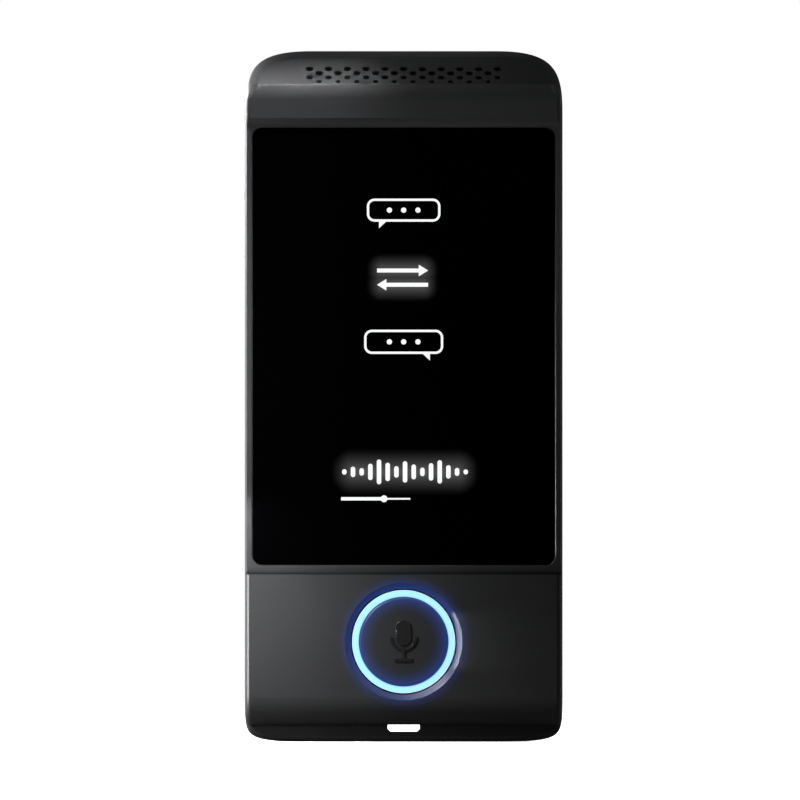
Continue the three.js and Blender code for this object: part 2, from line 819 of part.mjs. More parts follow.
function lanyardSlot() {
  const half = slotWidth / 2;
  const top = lipHeight;
  const shape = outlineOf([
    [-half + slotChamfer, slotLow], [half - slotChamfer, slotLow], [half, slotLow + slotChamfer],
    [half, top], [-half, top], [-half, slotLow + slotChamfer]]);
  return drawnAlongY(shape, [front - overrun, back + overrun]);
}

// Low walls on the rear housing round the battery.
function batteryRibs() {
  const y = [innerBack - ribDepth, innerBack + wall / 2];
  const x = grown([-batteryHalfWidth, batteryHalfWidth], ribGap);
  const z = grown(batterySpanZ, ribGap);
  return [
    block([x[0] - ribThickness, x[1] + ribThickness], y, [z[0] - ribThickness, z[0]]),
    block([x[0] - ribThickness, x[1] + ribThickness], y, [z[1], z[1] + ribThickness]),
    block([x[0] - ribThickness, x[0]], y, z),
    block([x[1], x[1] + ribThickness], y, z),
  ];
}

function rearHousing(shell) {
  const body = shell.intersect(rearRegion(seam));
  const posts = bothSides(caseScrews).map(
    (at) => barY(postRadius, [bossBack + fitGap, innerBack + wall / 2], at));
  const screwCuts = bothSides(caseScrews).flatMap((at) => [
    barY(screwHole, [bossBack, back], at, smallBarSides),
    barY(counterboreRadius, [back - counterboreDepth, back + overrun], at),
  ]);
  const seatY = [back - cameraWindowSink - cameraWindowThickness - layerGap, back + overrun];
  return without(united([body, ...posts, ...batteryRibs()]), [
    ...screwCuts,
    lanyardSlot(),
    barY(cameraWindowRadius + fitGap, seatY, cameraAt, ringSides / 2),
    barY(cameraWindowRadius - windowLedge, [innerBack - overrun, back], cameraAt, ringSides / 2),
    barY(flashRadius + fitGap, seatY, flashAt),
    barY(flashStemRadius + fitGap, [innerBack - overrun, back], flashAt),
    barY(microphonePort, [innerBack - overrun, back + overrun], upperMicrophone, smallBarSides),
    barZ(microphonePort, [-overrun, cavityLow + overrun], [lowerMicrophoneX, lowerPortY]),
  ]);
}

// Screen stack

function coverGlass() {
  return roundedPlate(glassSpanX, [glassFront, glassBack], glassSpanZ, glassCorner);
}

function glassAdhesive() {
  const y = [glassBack + layerGap, ledgeFront - layerGap];
  const outer = roundedPlate(grown(glassSpanX, -fitGap), y, grown(glassSpanZ, -fitGap), glassCorner);
  const inner = roundedPlate(
    grown(glassSpanX, -ledgeWidth), grown(y, overrun), grown(glassSpanZ, -ledgeWidth), glassCorner);
  return outer.subtract(inner);
}

function displayModule() {
  const inset = ledgeWidth + displayMargin;
  return roundedPlate(
    grown(glassSpanX, -inset), [glassBack + layerGap, displayBack], grown(glassSpanZ, -inset), glassCorner);
}

function displayFlex() {
  const y = [displayBack + layerGap, displayBack + layerGap + displayFlexThickness];
  const z = [glassLow - displayFlexDrop, glassLow + displayFlexRise];
  return block([displayFlexX, displayFlexX + displayFlexWidth], y, z);
}

function chassisEar([x, z], edge) {
  const y = [chassisFront, chassisBack];
  const reach = [Math.min(z, edge), Math.max(z, edge)];
  return [barY(earRadius, y, [x, z]), block(span(x, 2 * earRadius), y, reach)];
}

function chassisPlate() {
  const y = [chassisFront, chassisBack];
  const half = side - chassisSide;
  const z = grown(glassSpanZ, -ledgeWidth / 2);
  const plate = roundedPlate([-half, half], y, z, glassCorner);
  const middle = (z[0] + z[1]) / 2;
  const ears = bothSides([chassisTopEar, chassisFootEar]).flatMap((at) => chassisEar(at, middle));
  const standoffs = bothSides(boardScrews).map(
    (at) => barY(standoffRadius, [chassisBack - chassisThickness / 2, mainFront - layerGap], at));
  const bores = [...bothSides([chassisTopEar, chassisFootEar]), ...bothSides(boardScrews)].map(
    (at) => barY(smallBore, [chassisFront - overrun, mainFront + overrun], at, smallBarSides));
  return without(united([plate, ...ears, ...standoffs]), bores);
}

// A small screw whose head sits behind a face and whose shaft reaches forward.
function smallScrew(at, seat, reach) {
  const headY = [seat + layerGap, seat + layerGap + smallHeadThickness];
  return turned([
    [0, seat - reach], [smallScrewRadius, seat - reach], [smallScrewRadius, headY[0]],
    [smallHeadRadius, headY[0]], [smallHeadRadius, headY[1]], [0, headY[1]]], at, smallBarSides);
}

// Main board

function mainBoard() {
  const board = block(
    [-mainBoardHalfWidth, mainBoardHalfWidth], [mainFront, mainBack], [mainBoardLow, mainBoardHigh]);
  const holes = bothSides(boardScrews).map(
    (at) => barY(smallBore, [mainFront - overrun, mainBack + overrun], at, smallBarSides));
  const socket = block([flexX, flexX + flexWidth], [mainFront, connectorTop], mainConnectorZ);
  return without(united([board, ...chips(), socket]), holes);
}

function shieldCan(x, z) {
  return roundedPlate(x, [mainBack + layerGap, mainBack + layerGap + shieldThickness], z, shieldCorner);
}

// A row of small chips below the processor's shield.
function chips() {
  const y = [mainFront, mainBack + chipSize[1]];
  const first = -(chipCount - 1) * chipPitch / 2 + processorShieldX[0] / 2;
  return Array.from({ length: chipCount }, (_, i) => block(
    span(first + i * chipPitch, chipSize[0]), y, span(mainBoardLow + chipRise, chipSize[2])));
}

const sideSwitchOuter = mainBoardHalfWidth + sideSwitchDepth / 2;

function sideSwitch(sideSign, height) {
  const outer = sideSwitchOuter;
  const x = sideSign > 0 ? [outer - sideSwitchDepth, outer] : [-outer, sideSwitchDepth - outer];
  const y = [mainBack + layerGap, mainBack + layerGap + sideSwitchThickness];
  return block(x, y, span(height, sideSwitchHeight));
}

// Flat cable from the sub board, up behind the battery, to the main board.
function ribbon(path, x) {
  return drawnAlongX(outlineOf(path), x);
}

const connectorTop = mainBack + layerGap + connectorThickness;
const subConnectorTop = subBack + layerGap + connectorThickness;
const subConnectorZ = [subBoardTabTop - connectorEdge - connectorLength, subBoardTabTop - connectorEdge];
const mainConnectorZ = [mainBoardLow + connectorEdge, mainBoardLow + connectorEdge + connectorLength];

function subBoardFlex() {
  const t = flexThickness;
  const near = subConnectorTop + layerGap;
  const rear = batteryBack + layerGap;
  const end = connectorTop + layerGap;
  const low = (subBoardTabTop + batterySpanZ[0] - t) / 2;
  const high = (mainConnectorZ[0] + batterySpanZ[1] - t) / 2;
  return ribbon([
    [near, subConnectorZ[0]], [near + t, subConnectorZ[0]], [near + t, low], [rear + t, low],
    [rear + t, high + t], [end + t, high + t], [end + t, mainConnectorZ[1]], [end, mainConnectorZ[1]],
    [end, high], [rear, high], [rear, low + t], [near, low + t]], [flexX, flexX + flexWidth]);
}

function batteryLead() {
  const t = flexThickness;
  const near = subConnectorTop + layerGap;
  const end = batterySpanZ[0] - layerGap;
  const reach = near + leadWidth / 2;
  return ribbon([
    [near, subConnectorZ[0]], [near + t, subConnectorZ[0]], [near + t, end - t], [reach, end - t],
    [reach, end], [near, end]], [leadX, leadX + leadWidth]);
}

// Sub board

function subBoard() {
  const y = [subFront, subBack];
  const plate = block(subBoardSpanX, y, subBoardSpanZ);
  const tab = block([-subBoardTabHalf, subBoardTabHalf], y, [subBoardSpanZ[1] - overrun, subBoardTabTop]);
  const behind = [subFront, subConnectorTop];
  const before = [displayBack + 2 * layerGap + displayFlexThickness, subBack];
  const sockets = [
    block([flexX, flexX + flexWidth], behind, subConnectorZ),
    block([leadX, leadX + leadWidth], behind, subConnectorZ),
    block([displayFlexX, displayFlexX + displayFlexWidth], before, subConnectorZ),
  ];
  const through = grown(y, overrun);
  const notches = bothSides([caseScrews[0]]).map((at) => barY(bossRadius + bossNotch, through, at));
  const holes = bothSides([subBoardBoss, subBoardPeg]).map(
    (at) => barY(smallBore, through, at, smallBarSides));
  return without(united([plate, tab, ...sockets]), [...notches, ...holes]);
}

function usbConnector() {
  const x = [-side + usbInset, -side + usbInset + usbLength];
  const shell = drawnAlongX(usbOutline(0), x);
  const mouth = drawnAlongX(usbOutline(-usbShell), [x[0] - overrun, x[1] - usbTongueSetback]);
  const tongue = block([x[0] + usbTongueSetback, x[1] - usbShell],
    span(usbY, usbTongue[1]), span(usbHeight, usbTongue[0]));
  return shell.subtract(mouth).add(tongue);
}

// A ring-shaped strip with the lamps that light the ring.
function ledStrip() {
  const y = [ledFront, ledBack];
  const [inner, outer] = span(ledRadius, ledStripWidth);
  const stripFront = y[1] - ledStripThickness;
  const strip = turned([
    [inner, stripFront], [outer, stripFront], [outer, y[1]], [inner, y[1]], [inner, stripFront]],
  buttonAt, ringSides / 2);
  const lamps = Array.from({ length: ledCount }, (_, i) => {
    const turn = (i + 1 / 2) * 2 * Math.PI / ledCount;
    const geometry = new THREE.BoxGeometry(ledSize[0], ledSize[1], ledSize[2])
      .translate(0, (y[0] + y[1]) / 2, ledRadius).rotateY(turn).translate(0, 0, buttonHeight);
    return solid(geometry);
  });
  return united([strip, ...lamps]);
}

function vibrationMotor() {
  const y = [subBack + layerGap, subBack + layerGap + motorThickness];
  return barY(motorRadius, y, motorCentre, ringSides / 2);
}

// Talk button

const ringFront = front + ringSink;
const ringFlangeFront = innerFront + fitGap;
const ringFlangeBack = ringFlangeFront + ringFlangeThickness;

function actionButton() {
  const flangeRadius = buttonRadius + buttonFlangeWidth;
  return turned([
    [0, buttonFront], [buttonRadius - buttonEdge, buttonFront], [buttonRadius, buttonFront + buttonEdge],
    [buttonRadius, flangeFront], [flangeRadius, flangeFront], [flangeRadius, flangeBack],
    [buttonRadius - buttonSkirt, flangeBack], [buttonRadius - buttonSkirt, buttonFront + buttonFace],
    [buttonPostRadius, buttonFront + buttonFace], [buttonPostRadius, flangeBack], [0, flangeBack]],
  buttonAt);
}

function switchStem() {
  const y = [flangeBack + layerGap, flangeBack + layerGap + stemLength];
  return barY(stemRadius, y, buttonAt, smallBarSides);
}

// The switch's body, with the well that its stem is pressed into.
function buttonSwitch() {
  const y = [switchFront, subFront - layerGap];
  const body = block([-switchHalf, switchHalf], y, span(buttonHeight, 2 * switchHalf));
  const stemWell = [y[0] - overrun, y[1] - layerGap];
  return body.subtract(barY(stemRadius + stemGap, stemWell, buttonAt, smallBarSides));
}

function lightRing() {
  const skirtBack = ledFront - fitGap;
  const skirtInner = ringInner + ringSkirtInset;
  return turned([
    [ringInner, ringFront + ringEdge], [ringInner + ringEdge, ringFront], [ringOuter - ringEdge, ringFront],
    [ringOuter, ringFront + ringEdge], [ringOuter, ringFlangeFront], [ringFlangeRadius, ringFlangeFront],
    [ringFlangeRadius, skirtBack], [skirtInner, skirtBack], [skirtInner, ringFlangeBack],
    [ringInner, ringFlangeBack], [ringInner, ringFront + ringEdge]], buttonAt);
}

// Side keys

// A key's cap and the flange that keeps it in the case, from its outer face at x = 0 inwards along +X.
function keyBody(height, length, flangeGap) {
  const capWidth = keyWidth - 2 * fitGap;
  const flangeOuter = wall + flangeGap;
  const flangeInner = flangeOuter + keyFlangeThickness;
  const cap = roundedOutline(span(keyY, capWidth), span(height, length - 2 * fitGap), capWidth / 2);
  const flangeWidth = keyWidth + 2 * keyFlangeMargin;
  const flange = roundedOutline(
    span(keyY, flangeWidth), span(height, length + 2 * keyFlangeMargin), flangeWidth / 2);
  return drawnAlongX(cap, [0, flangeInner]).add(drawnAlongX(flange, [flangeOuter, flangeInner]));
}

const rockerFlangeGap = (rockerLength / 2 + keyFlangeMargin) * Math.sin(swing) + fitGap;
const rockerFlangeOuter = wall + rockerFlangeGap;

function powerKey() {
  const nubEnd = side - sideSwitchOuter - keyTravel - fitGap / 2;
  const nub = barX(keyNubRadius, [wall + keyFlangeGap, nubEnd], [keyY, powerKeyHeight]);
  return keyBody(powerKeyHeight, powerKeyLength, keyFlangeGap).add(nub);
}

function volumeRocker() {
  const nubSwing = (rockerNubOffset + keyNubRadius) * Math.sin(swing);
  const nubX = [rockerFlangeOuter, side - sideSwitchOuter - nubSwing - fitGap / 2];
  const nubs = [-1, 1].map(
    (sign) => barX(keyNubRadius, nubX, [keyY, rockerHeight + sign * rockerNubOffset]));
  const hub = block(
    [rockerFlangeOuter, pinSetback + hubHalf - hubSideGap],
    span(keyY, keyWidth + 2 * hubSideGap), span(rockerHeight, 2 * hubHalf));
  const bore = barY(
    pinRadius + hubGap, grown(pinSpanY, overrun), [pinSetback, rockerHeight], smallBarSides);
  return united([keyBody(rockerHeight, rockerLength, rockerFlangeGap), ...nubs, hub]).subtract(bore);
}

function rockerPin() {
  return barY(pinRadius, pinSpanY, [pinX, rockerHeight], smallBarSides);
}

// Speaker, in the slanted face's own frame

function speakerMesh() {
  const y = [wall + 2 * layerGap, wall + 2 * layerGap + speakerMeshThickness];
  const [halfX, halfZ] = speakerMeshHalf;
  return roundedPlate([-halfX, halfX], y, [-halfZ, halfZ], speakerGasketRim);
}

const gasketFront = wall + 3 * layerGap + speakerMeshThickness;
const speakerFront = gasketFront + speakerGasketThickness + layerGap;

function speakerGasket() {
  const y = [gasketFront, gasketFront + speakerGasketThickness];
  const x = [-speakerHalfWidth, speakerHalfWidth];
  const z = [-speakerMeshHalf[1], speakerMeshHalf[1]];
  const outer = roundedPlate(x, y, z, speakerGasketRim);
  const rim = -speakerGasketRim;
  return outer.subtract(block(grown(x, rim), grown(y, overrun), grown(z, rim)));
}

function speakerModule() {
  const x = [-speakerHalfWidth, speakerHalfWidth];
  const z = [-speakerMeshHalf[1], speakerMeshHalf[1]];
  const bodyY = [speakerFront, speakerFront + speakerThickness];
  const body = roundedPlate(x, bodyY, speakerSpan, speakerGasketRim);
  const cone = roundedPlate(
    grown(x, -speakerConeMargin), [speakerFront - speakerConeRise, speakerFront + speakerConeRise],
    grown(z, -speakerConeMargin), speakerGasketRim);
  return body.add(cone);
}

// Rear camera, flash and microphones

const windowY = [back - cameraWindowSink - cameraWindowThickness, back - cameraWindowSink];

function cameraWindow() {
  return barY(cameraWindowRadius, windowY, cameraAt, ringSides / 2);
}

function cameraModule() {
  const y = [mainBack + layerGap, innerBack - cameraBodyGap];
  const body = block(span(cameraAt[0], 2 * cameraHalf), y, span(cameraAt[1], 2 * cameraHalf));
  const barrelRadius = cameraWindowRadius - windowLedge - cameraBarrelGap;
  const barrelY = [y[1] - overrun, windowY[0] - cameraLensGap];
  return body.add(barY(barrelRadius, barrelY, cameraAt, ringSides / 2));
}

function flashLens() {
  const foot = mainBack + 2 * layerGap + flashLedThickness;
  return turned([
    [0, foot], [flashStemRadius, foot], [flashStemRadius, windowY[0]], [flashRadius, windowY[0]],
    [flashRadius, windowY[1]], [0, windowY[1]]], flashAt, barSides);
}

function flashLed() {
  const y = [mainBack + layerGap, mainBack + layerGap + flashLedThickness];
  return block(span(flashAt[0], 2 * flashLedHalf), y, span(flashAt[1], 2 * flashLedHalf));
}

const microphoneBack = mainBack + layerGap + microphoneSize[1];

function upperMicrophoneBody() {
  return block(
    span(upperMicrophone[0], microphoneSize[0]), [mainBack + layerGap, microphoneBack],
    span(upperMicrophone[1], microphoneSize[2]));
}

function upperBoot() {
  const y = [microphoneBack + layerGap, innerBack - layerGap];
  const bore = barY(bootBore, grown(y, overrun), upperMicrophone, smallBarSides);
  return barY(bootRadius, y, upperMicrophone, smallBarSides).subtract(bore);
}

const bootTop = cavityLow + layerGap + bootHalf;

function lowerMicrophoneBody() {
  const y = [subBack + layerGap, subBack + layerGap + microphoneSize[2]];
  const z = [bootTop + layerGap, bootTop + layerGap + microphoneSize[1]];
  return block(span(lowerMicrophoneX, microphoneSize[0]), y, z);
}

function lowerBoot() {
  const z = [cavityLow + layerGap, bootTop];
  const body = block(span(lowerMicrophoneX, 2 * bootHalf), span(lowerPortY, 2 * bootHalf - fitGap), z);
  return body.subtract(barZ(bootBore, grown(z, overrun), [lowerMicrophoneX, lowerPortY]));
}

// Antennas: a thin sheet with a fed patch at one corner left open.
function antenna(x, z) {
  const y = [innerBack - layerGap - antennaThickness, innerBack - layerGap];
  const notch = block(
    [x[1] - antennaPatch - antennaNotch, x[1] - antennaPatch], grown(y, overrun),
    [z[0] - overrun, z[0] + antennaPatch]);
  return block(x, y, z).subtract(notch);
}

// Case fasteners

function caseScrew(at) {
  const seat = back - counterboreDepth + layerGap;
  const tip = bossBack - screwReach;
  return turned([
    [0, tip], [screwRadius, tip], [screwRadius, seat], [screwHeadRadius, seat],
    [screwHeadRadius, seat + screwHeadThickness], [0, seat + screwHeadThickness]], at, smallBarSides);
}

function screwPlug(at) {
  return barY(plugRadius, [back - plugSink - plugThickness, back - plugSink], at);
}

// The assembly

const shell = outerBody().subtract(cavity());
addPiece('front_housing', frontHousing(shell), casePlastic);
addPiece('rear_housing', rearHousing(shell), casePlastic);

addPiece('cover_glass', coverGlass(), glassBlack);
addPiece('glass_adhesive', glassAdhesive(), adhesive);
addPiece('display_module', displayModule(), foil);
addPiece('display_flex', displayFlex(), copperFlex);
addPiece('chassis_plate', chassisPlate(), magnesium);
addPieces('chassis_screw', bothSides([chassisTopEar, chassisFootEar]),
  (at) => smallScrew(at, chassisBack, chassisThickness + smallScrewReach), steel);

addPiece('main_board', mainBoard(), boardGreen);
addPieces('main_board_screw', bothSides(boardScrews),
  (at) => smallScrew(at, mainBack, mainBoardThickness + mainFront - chassisBack), steel);
addPiece('processor_shield', shieldCan(processorShieldX, processorShieldZ), steel);
addPiece('radio_shield', shieldCan(radioShieldX, radioShieldZ), steel);
addPiece('thermal_pad', block(
  grown(processorShieldX, -padMargin), [chassisBack + layerGap, mainFront - layerGap],
  grown(processorShieldZ, -padMargin)), foam);

addPiece('sub_board', subBoard(), boardGreen);
addPieces('sub_board_screw', bothSides([subBoardBoss]),
  (at) => smallScrew(at, subBack, subBoardThickness + smallScrewReach), steel);
addPiece('sub_board_flex', subBoardFlex(), copperFlex);
addPiece('usb_c_connector', usbConnector(), steel);
addPiece('vibration_motor', vibrationMotor(), steel);

const batteryX = [-batteryHalfWidth, batteryHalfWidth];
addPiece('battery', roundedPlate(batteryX, [batteryFront, batteryBack], batterySpanZ, batteryCorner), foil);
addPiece('battery_adhesive', block(
  grown(batteryX, -batteryPadMargin), [chassisBack + layerGap, batteryFront - layerGap],
  grown(batterySpanZ, -batteryPadMargin)), adhesive);
addPiece('battery_lead', batteryLead(), copperFlex);

addPiece('action_button', actionButton(), casePlastic);
addPiece('switch_stem', switchStem(), whitePlastic);
addPiece('button_switch', buttonSwitch(), darkSteel);
addPiece('light_ring', lightRing(), glow);
addPiece('led_strip', ledStrip(), whitePlastic);

// The power key faces right and the volume rocker faces left.
const rightSide = new THREE.Group();
rightSide.position.x = side;
rightSide.scale.x = -1;
const leftSide = new THREE.Group();
leftSide.position.x = -side;
model.add(rightSide, leftSide);
addPiece('power_key', powerKey(), casePlastic, rightSide);
addPiece('volume_rocker', volumeRocker(), casePlastic, leftSide);
addPiece('rocker_pin', rockerPin(), steel);
addPiece('power_switch', sideSwitch(1, powerKeyHeight), darkSteel);
addPieces('volume_switch', [-rockerNubOffset, rockerNubOffset],
  (offset) => sideSwitch(-1, rockerHeight + offset), darkSteel);

const speakerSeat = new THREE.Group();
speakerSeat.position.set(...bevelMiddle);
speakerSeat.rotation.x = -tilt;
model.add(speakerSeat);
addPiece('speaker_mesh', speakerMesh(), darkSteel, speakerSeat);
addPiece('speaker_gasket', speakerGasket(), foam, speakerSeat);
addPiece('speaker_module', speakerModule(), chipBlack, speakerSeat);

addPiece('camera_module', cameraModule(), chipBlack);
addPiece('camera_window', cameraWindow(), clearWindow);
addPiece('flash_led', flashLed(), whitePlastic);
addPiece('flash_lens', flashLens(), whitePlastic);
addPiece('upper_microphone', upperMicrophoneBody(), gold);
addPiece('upper_microphone_boot', upperBoot(), rubber);
addPiece('lower_microphone', lowerMicrophoneBody(), gold);
addPiece('lower_microphone_boot', lowerBoot(), rubber);

const mainAntennaHigh = caseHeight - mainAntennaDrop;
addPiece('main_antenna', antenna(
  [mainAntennaLeft, side - mainAntennaInset],
  [mainAntennaHigh - mainAntennaHeight, mainAntennaHigh]), gold);
const footAntennaLow = cavityLow + footAntennaRise;
addPiece('foot_antenna', antenna(
  [footAntennaInset - side, side - footAntennaInset],
  [footAntennaLow, footAntennaLow + footAntennaHeight]), gold);
addPieces('case_screw', bothSides(caseScrews), caseScrew, darkSteel);
addPieces('screw_plug', bothSides(caseScrews), screwPlug, rubber);

export default model;
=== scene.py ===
"""Looks of the handheld translator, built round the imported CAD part.

Shapes are worked out in millimetres in the CAD's frame (X right, Y back, Z up) and written in metres.
Places and overall sizes come from the frame. The named sizes below are the ones that it doesn't give.
"""
import json
from math import asin, copysign, cos, pi, radians, sin, sqrt, tan

import bmesh
import bpy
import numpy as np
from mathutils import Matrix, Vector

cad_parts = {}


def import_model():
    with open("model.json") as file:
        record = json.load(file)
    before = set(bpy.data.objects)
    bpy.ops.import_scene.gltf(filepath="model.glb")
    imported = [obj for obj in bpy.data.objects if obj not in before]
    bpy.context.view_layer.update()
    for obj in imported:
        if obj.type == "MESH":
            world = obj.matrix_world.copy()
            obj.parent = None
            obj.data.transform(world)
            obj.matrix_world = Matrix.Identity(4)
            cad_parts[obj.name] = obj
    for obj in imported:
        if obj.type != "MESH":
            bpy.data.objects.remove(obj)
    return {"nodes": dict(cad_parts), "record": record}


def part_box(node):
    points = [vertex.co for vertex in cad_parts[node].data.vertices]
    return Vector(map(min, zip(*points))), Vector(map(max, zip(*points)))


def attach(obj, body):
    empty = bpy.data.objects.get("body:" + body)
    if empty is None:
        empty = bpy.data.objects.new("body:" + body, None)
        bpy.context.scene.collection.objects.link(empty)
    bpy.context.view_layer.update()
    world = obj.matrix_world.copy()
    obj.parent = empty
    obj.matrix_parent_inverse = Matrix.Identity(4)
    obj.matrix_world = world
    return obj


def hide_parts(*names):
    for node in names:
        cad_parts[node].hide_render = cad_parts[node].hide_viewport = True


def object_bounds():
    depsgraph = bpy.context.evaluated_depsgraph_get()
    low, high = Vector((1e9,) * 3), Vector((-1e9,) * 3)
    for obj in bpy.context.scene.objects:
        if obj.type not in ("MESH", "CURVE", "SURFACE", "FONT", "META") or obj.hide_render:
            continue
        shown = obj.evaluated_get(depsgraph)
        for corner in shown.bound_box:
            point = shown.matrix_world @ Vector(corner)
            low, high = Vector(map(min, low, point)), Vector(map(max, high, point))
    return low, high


MM = 0.001

# Case corners and edges
CORNER_SAMPLES = 400
TOP_CORNER = dict(across=12, rise=11, across_share=0.15, rise_share=0.3)
FOOT_CORNER = dict(across=12, rise=7, across_share=0, rise_share=0.1)
WALL = 1.4
SEAM = 0.12
SEAM_GAP = 0.005
FRONT_EDGE_WIDTH = 1.1
SLANT_EDGE_WIDTH = 1.9
SLANT_EDGE_CREASE = 0.6
FRONT_EDGE_DEPTH = 2.2
FOOT_EDGE_DEPTH = 1
BACK_EDGE_WIDTH = 2
BACK_EDGE_DEPTH = 2.1
SEAM_GROOVE_HALF = 0.15
SEAM_GROOVE_DEPTH = 0.25

# Case, side profile of the front
LIP_HEIGHT = 3.1
LIP_SETBACK = 3.2
CHIN_ROUND_RISE = 5.2
CHIN_ROUND_DEPTH = 2.8
BROW_ROUND_DROP = 9
BROW_ROUND_DEPTH = 0.8
BEVEL_DROP = 6.2
BEVEL_TILT = radians(57)
PARTING_FOOT_DEPTH = 4.9
PARTING_TOP_DEPTH = 2.3

# Recess, pocket and ledge of the glass
RECESS_DEPTH = 0.5
RECESS_LOW_MARGIN = 0.2
RECESS_HIGH_MARGIN = 0.3
RECESS_SLOPE = 1.6
STRIP_FALL = 0.45
GLASS_CORNER = 1.75
GLASS_EDGE = 0.12
LEDGE_WIDTH = 1.25
LEDGE_REACH = 1.3
LEDGE_THICKNESS = 1.15
ADHESIVE_THICKNESS = 0.2
FIT_GAP = 0.15
CUT_EDGE = 0.1

# Speaker holes in the slanted face
HOLE_RADIUS = 0.73
HOLE_ROW_SHARES = (1, 1, 0.88, 0.7)
HOLE_COLUMNS = 11
HOLE_FIELD_INSET = 11.8
HOLE_ROW_PITCH = 1.44
HOLE_ROWS_DROP = 4.48
HOLE_EDGE = 0.06

# Talk button, light ring and well
BUTTON_RADIUS = 8
BUTTON_EDGE = 0.3
BUTTON_FLANGE = 0.5
RING_WIDTH = 1.34
RING_EDGE = 0.22
RING_FLANGE = 0.6
RING_SKIRT_INSET = 1.05
WELL_WIDTH = 1.11
RING_GAP = 0.05
WELL_DEPTH = 0.65
WELL_EDGE = 0.12

# Microphone pictogram on the button, round the button's middle
MICROPHONE_HALF = 1.4
MICROPHONE_LENGTH = 4.7
MICROPHONE_FOOT = -0.75
HOLDER_RADIUS = 2.6
HOLDER_RISE = 0.9
SYMBOL_STROKE = 0.6
STAND_FOOT = -3.65
STAND_HALF = 1.65
SYMBOL_RAISE = 0.2
SYMBOL_EDGE = 0.16

# Keys
KEY_EDGE = 0.35
KEY_FLANGE_MARGIN = 0.7
KEY_FLANGE_THICKNESS = 0.6
KEY_NUB_RADIUS = 0.9
POWER_FLANGE_GAP = 0.2
ROCKER_FLANGE_GAP = 0.45
ROCKER_NUB_REACH = 5.5
MARK_REACH = 0.75
MARK_HALF = 0.16
MARK_RAISE = 0.06

# USB-C socket
USB_CORNER = 1.5
USB_SHELL = 0.3
USB_RIM = 0.12
USB_GAP = 0.2
USB_TONGUE_WIDTH = 6.7
USB_TONGUE_THICKNESS = 0.7
USB_TONGUE_SETBACK = 0.8
USB_CONTACTS = 12
USB_CONTACT_PITCH = 0.5
USB_CONTACT_HALF = 0.13
USB_CONTACT_LENGTH = 3.2
USB_CONTACT_RAISE = 0.03

# Windows, plugs and ports on the back
WINDOW_RIM = 0.75
WINDOW_EDGE = 0.15
PANE_SINK = 0.12
LENS_RADIUS = 1.7
LENS_BULGE = 0.1
FLASH_RIDGES = 4
FLASH_RIDGE_HEIGHT = 0.07
FLASH_STEM = 1.1
FLASH_HEAD = 0.85
MICROPHONE_PORT = 0.5
PLUG_EDGE = 0.25
PLUG_DISH = 0.12

# Signs on the lit screen: middle [x, z] and sizes
SIGN_THICKNESS = 0.02
SIGN_STROKE = 0.42
FIRST_BUBBLE = dict(middle=(0, 96.9), size=(13.4, 4.2), tail_side=-1)
SECOND_BUBBLE = dict(middle=(0, 72.9), size=(14.4, 4.4), tail_side=1)
BUBBLE_CORNER = 1.4
TAIL_WIDTH = 1.5
TAIL_DROP = 1.2
TAIL_PLACE_SHARE = 0.28
BUBBLE_DOTS = 3
DOT_RADIUS = 0.48
DOT_PITCH = 2.6
ARROWS = dict(middle=(-0.2, 84.6), size=(9.3, 4.7))
ARROW_SHAFT = 0.72
ARROW_HEAD = 1.7
ARROW_HEAD_HALF = 1.05
WAVE = dict(middle=(0.25, 49.2), size=(23.7, 4.5))
WAVE_SHARES = (0.22, 0.42, 0.3, 0.66, 1, 0.74, 0.46, 0.86, 0.6, 0.34, 0.7, 0.94, 0.54, 0.32, 0.2)
WAVE_BAR_SHARE = 0.52
TIMELINE = dict(middle=(-5.1, 44.3), size=(12.6, 0.3))
TIMELINE_KNOB = 0.62
TIMELINE_DONE_SHARE = 0.62

# Lanyard slot through the lip
SLOT_WIDTH = 5.87
SLOT_LOW = 1.75
SLOT_CHAMFER = 0.5
SLOT_EDGE = 0.12

# How finely shapes are drawn
OVERRUN = 1
EDGE_STEPS = 12
RIM_STEPS = 6
GLASS_RIM_STEPS = 4
CORNER_ROWS = 44
ARC_ROWS = 12
SLOPE_ROWS = 8
ROUND_SIDES = 128
SMALL_SIDES = 40
HOLE_SIDES = 28
CORNER_STEPS = 10
BEVEL_SEGMENTS = 2
SMOOTH_ANGLE = radians(28)
QUARTER_TURN = np.linspace(0, pi / 2, EDGE_STEPS)

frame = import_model()
cad_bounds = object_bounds()


def box_mm(node):
    """The lowest and highest corner of a CAD node, in millimetres."""
    low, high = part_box(node)
    return np.array(low) / MM, np.array(high) / MM


def middle(node):
    low, high = box_mm(node)
    return (low + high) / 2


def round_node(node):
    """A round node's radius, its span on Y and its middle in X and Z."""
    low, high = box_mm(node)
    return (high - low)[0] / 2, low[1], high[1], middle(node)[[0, 2]]


(_, FRONT, _), (SIDE, BACK, TOP) = (np.array(corner) / MM for corner in cad_bounds)
GLASS_LOW, GLASS_HIGH = box_mm("cover_glass")
GLASS_HALF = (GLASS_HIGH - GLASS_LOW)[[0, 2]] / 2
GLASS_CENTRE = middle("cover_glass")[[0, 2]]
GLASS_SEAT = GLASS_HIGH[1] + ADHESIVE_THICKNESS
SIGN_SPAN = (GLASS_LOW[1] - SIGN_THICKNESS, GLASS_LOW[1] + SIGN_THICKNESS)
LEDGE_BACK = GLASS_SEAT + LEDGE_THICKNESS
BUTTON_FLANGE_RADIUS, BUTTON_FACE, BUTTON_BACK, BUTTON_CENTRE = round_node("action_button")
RING_INNER = BUTTON_RADIUS + FIT_GAP
RING_OUTER = RING_INNER + RING_WIDTH
WELL_RADIUS = RING_OUTER + WELL_WIDTH
CHIN_TOP = LIP_HEIGHT + CHIN_ROUND_RISE
BROW_START = TOP - BROW_ROUND_DROP
BEVEL_START = TOP - BEVEL_DROP
